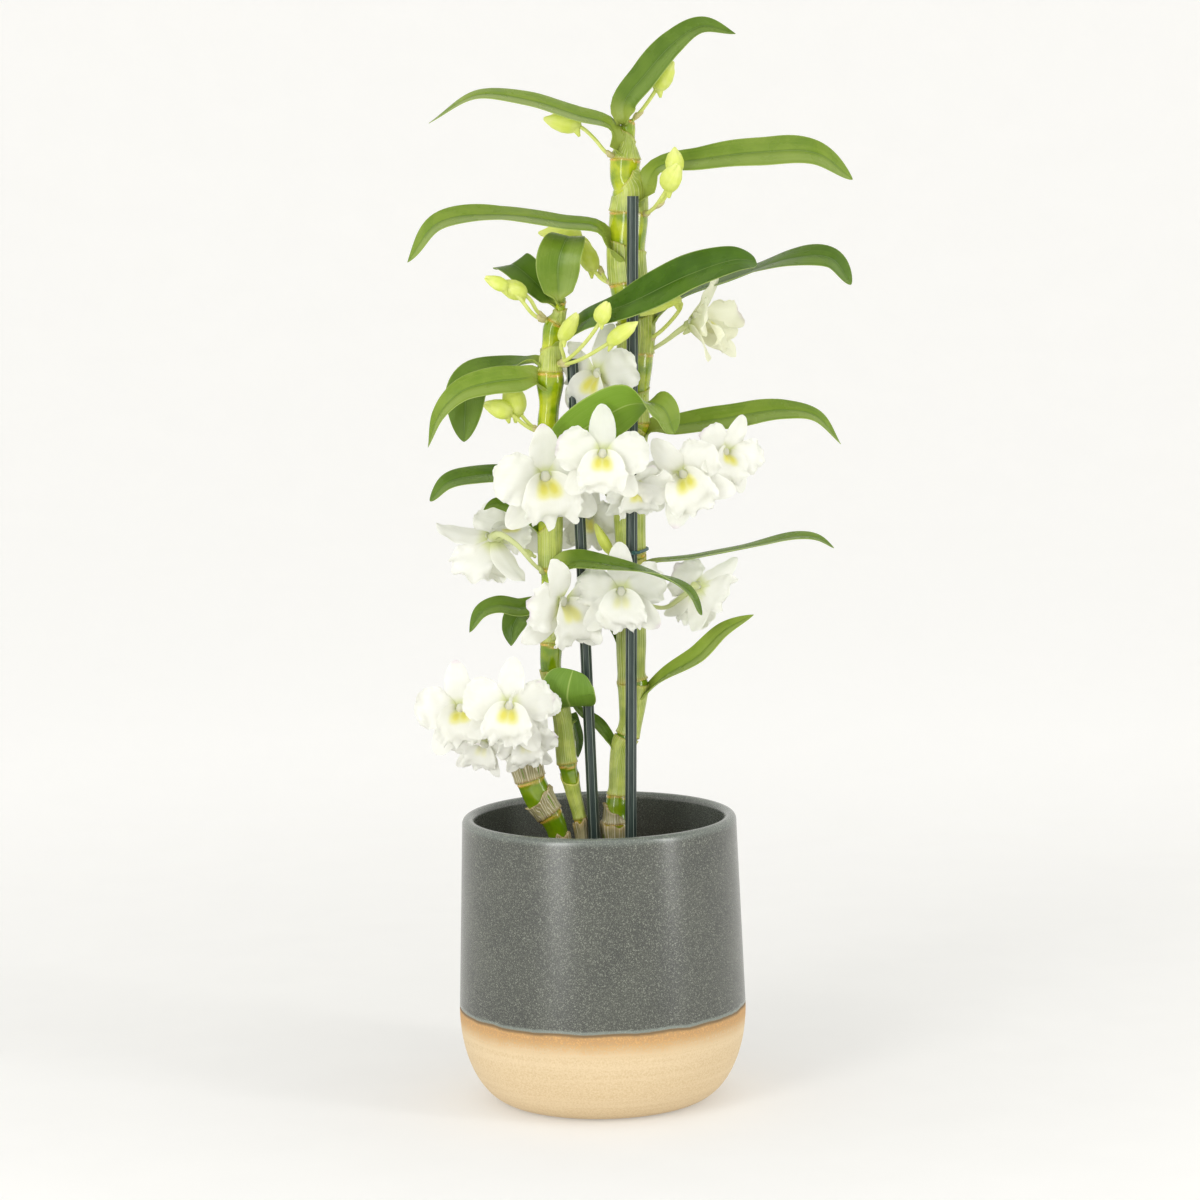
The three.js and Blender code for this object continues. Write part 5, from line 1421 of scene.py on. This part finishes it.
def add_stalk(form, bloom):
    """The bloom's stalk, which swells into its ovary behind the throat."""
    back = np.array(bloom["throat"]) - unit(np.array(bloom["faces"], float)) * OVARY_LENGTH / 2
    route = Route([*bloom["stalk"], back])
    share = np.linspace(0, 1, 26)
    swell = STALK_RADIUS + (OVARY_RADIUS - STALK_RADIUS) * share ** 2
    tube(form, route.at(share), swell * (0.85 + 0.15 * share), 10, green=0.85 - 0.15 * share)
    add_bract(form, route, 0.1, green=1)


def add_bract(form, route, start, **values):
    """A small scale round a stalk near its foot."""
    share = np.linspace(0, 1, 7)
    run = start + share * BRACT_LENGTH / route.length
    swell = BRACT_RADIUS * outline(BRACT_OUTLINE, share)
    slide = 1.4 * np.cos(full_turn(10)) * smooth(0.3, 1, share)[:, None]
    tube(form, route.at(np.clip(run, 0, 1)), swell, 10, slide=slide, **values)


def build_blooms(name, material, rng):
    form = Form("across", "along", "green", "blotch", "anther", "lilac", "young")
    for bloom in BLOOMS[name]:
        add_bloom(form, bloom, rng)
    form.piece(name + "_petals", material, "petal", name)


# ---------- buds ----------

BUD_SIDES = 24
BUD_OUTLINE = ((0, 0.25), (0.05, 0.55), (0.15, 0.82), (0.3, 0.98), (0.5, 1), (0.75, 0.75), (0.9, 0.48),
               (0.97, 0.3), (1, 0.12))
BUD_SPUR_OUTLINE = ((0, 1), (0.5, 0.62), (1, 0.2))
BUD_LOBE = 0.07                  # how far its three sepals bulge, beside its radius
BUD_CREASE = 0.06                # how deep the creases between them are
BUD_SPLIT = 0.6                  # how far its tip is drawn in where it splits


def add_bud(form, stalk, rng):
    """A stalk that ends in a bud: three sepals folded into a pointed roll with a split tip, and a spur
    at its foot."""
    route = Route(stalk["route"])
    length, width = stalk["bud"]
    start = 1 - length / route.length
    share = np.linspace(0, start + 0.02, 16)
    tube(form, route.at(share), STALK_RADIUS * 0.95 + 0 * share, 10, along=0)
    add_bract(form, route, 0.12, bract=0.8)
    turn = full_turn(BUD_SIDES)
    run = np.sin(np.linspace(0, math.pi / 2, 34))
    swell = outline(BUD_OUTLINE, run) * width / 2
    spin = rng.uniform(0, TURN)
    lobes = 1 + BUD_LOBE * np.cos(3 * turn + spin)
    tip = smooth(0.78, 1, run)[:, None]
    split = 1 - tip * (1 - np.abs(np.cos(turn + spin)) ** 0.8) * BUD_SPLIT
    slide = 1.6 * tip * (np.abs(np.cos(turn + spin)) - 0.6)
    crease = 1 - BUD_CREASE * np.exp(-((np.mod(turn * 3 + spin, TURN) - math.pi) / 0.5) ** 2)
    tube(form, route.at(start + run * (1 - start)), swell[:, None] * lobes * split * crease, BUD_SIDES,
         slide=slide, along=run, across=np.cos(turn)[None])
    ahead = route.direction(start)
    down = np.array([0, 0, -1]) - ahead * (-ahead[2])
    down = unit(down) if np.linalg.norm(down) > 0.2 else unit(np.cross(ahead, (0, 1, 0)))
    foot = route.at(start + 0.14 * (1 - start))
    spur = np.linspace(0, 1, 8)[:, None]
    line = foot + down * width * 0.42 * spur - ahead * length * 0.24 * spur ** 1.4
    tube(form, line, width * 0.3 * outline(BUD_SPUR_OUTLINE, spur.ravel()), 12, along=0.15)


def build_spray(name, material, rng):
    form = Form("across", "along", "bract")
    for stalk in SPRAYS[name]:
        add_bud(form, stalk, rng)
    form.piece(name + "_sepals", material, "bud", name)


# ---------- the plant ----------

build_cover_pot(pot_material())
build_nursery_pot(grained_plastic("nursery_plastic", roughness=0.5, scale=1.6, detail=3, dark=(28, 28, 27),
                                  pale=(52, 51, 48), gloss=(0.42, 0.6), depth=0.08))
build_bark(bark_material())
tie_wire = grained_plastic("tie_wire", roughness=0.45, scale=1.4, detail=2, dark=(16, 58, 58),
                           pale=(40, 92, 86), gloss=(0.38, 0.52), depth=0.1)
for build, names, material in (
    (build_cane, CANES, cane_material()),
    (build_stake, STAKES, stake_material()),
    (build_tie, TIES, tie_wire),
):
    for name in names:
        build(name, material)

rng = np.random.default_rng(SEED)
for build, names, material in (
    (build_leaf, LEAVES, leaf_material()),
    (build_blooms, BLOOMS, petal_material()),
    (build_spray, SPRAYS, bud_material()),
):
    for name in names:
        build(name, material, rng)

# ---------- stage, lights and camera ----------

STAGE_RADIUS = 3600
STAGE_CURVE = 1400
STAGE_HEIGHT = 4200
STAGE_NEAR = 1200                # the stage glows as a white room would, more from here outwards
FLOOR_GLOW = 0.26
FAR_GLOW = 0.435


def build_stage():
    """A pale floor that curves up into a round wall, the same from every side."""
    shader = Shader("pale_floor", roughness=0.9, Specular_IOR_Level=0.1, Emission_Color=(253, 253, 252))
    grain = shader.noise(shader.place(), 0.02, 2)
    shader.paint(shader.mix(grain, (206, 205, 202), (210, 209, 206)))
    x, y, _ = shader.split(shader.place())
    away = shader.math("SQRT", shader.plus(shader.times(x, x), shader.times(y, y)))
    shader.put(shader.surface.inputs["Emission Strength"],
               shader.range(away, 0, STAGE_NEAR, FLOOR_GLOW, FAR_GLOW))
    floor_radius = STAGE_RADIUS - STAGE_CURVE
    profile = [
        (20, 0), *straight((0, 0), (floor_radius, 0), 6),
        *arc(floor_radius, STAGE_CURVE, STAGE_CURVE, STAGE_CURVE, -90, 0, 24),
        (STAGE_RADIUS, STAGE_HEIGHT),
    ]
    points = turned(profile, ROUND_SIDES).reshape(-1, 3)
    index = np.arange(ROUND_SIDES)
    disc = np.stack([np.full(ROUND_SIDES, len(points)), index, np.roll(index, -1)], axis=-1)
    form = Form()
    form.add(np.vstack([points, (0, 0, 0)]), grid(len(profile), ROUND_SIDES, closed=True)[:, ::-1], disc)
    stage = bpy.data.objects.new("floor", form.mesh("floor"))
    stage.data.materials.append(shader.material)
    bpy.context.scene.collection.objects.link(stage)


LIGHT_AIM = 260                  # the height that the lights point at


def add_light(name, azimuth, distance, height, size, power):
    """A soft rectangular light. Azimuth is in degrees from the camera's side, to the right."""
    light = bpy.data.lights.new(name, "AREA")
    light.shape = "RECTANGLE"
    light.size, light.size_y = (part * MM for part in size)
    light.energy = power
    lamp = bpy.data.objects.new(name, light)
    turn = math.radians(azimuth)
    place = np.array([distance * math.sin(turn), -distance * math.cos(turn), height])
    towards = place - (0, 0, LIGHT_AIM)
    lamp.location = place * MM
    lamp.rotation_euler = [math.acos(towards[2] / np.linalg.norm(towards)), 0,
                           math.atan2(towards[1], towards[0]) + math.pi / 2]
    bpy.context.scene.collection.objects.link(lamp)


build_stage()
add_light("left_softbox", -34, 1100, 530, (360, 1060), 6)
add_light("right_softbox", 58, 1100, 530, (160, 1060), 4)
add_light("top_softbox", 0, 350, 2100, (1600, 1200), 5)

world = bpy.data.worlds.new("studio")
world.use_nodes = True
sky = world.node_tree.nodes["Background"]
sky.inputs["Color"].default_value = (1, 0.995, 0.98, 1)
sky.inputs["Strength"].default_value = 0.5
bpy.context.scene.world = world
bpy.context.scene.view_settings.view_transform = "Standard"

CAMERA_PLACE = (2.5, -1960, 505)
CAMERA_TILT = 7.4                # degrees downwards
CAMERA_ROLL = -1.1
CAMERA_LENS = 120
CAMERA_SENSOR = 36

camera_data = bpy.data.cameras.new("camera")
camera_data.lens = CAMERA_LENS
camera_data.sensor_width = CAMERA_SENSOR
camera = bpy.data.objects.new("camera", camera_data)
tilted = Matrix.Rotation(math.radians(90 - CAMERA_TILT), 4, "X")
rolled = Matrix.Rotation(math.radians(CAMERA_ROLL), 4, "Z")
camera.matrix_world = Matrix.Translation([part * MM for part in CAMERA_PLACE]) @ tilted @ rolled
bpy.context.scene.collection.objects.link(camera)
bpy.context.scene.camera = camera
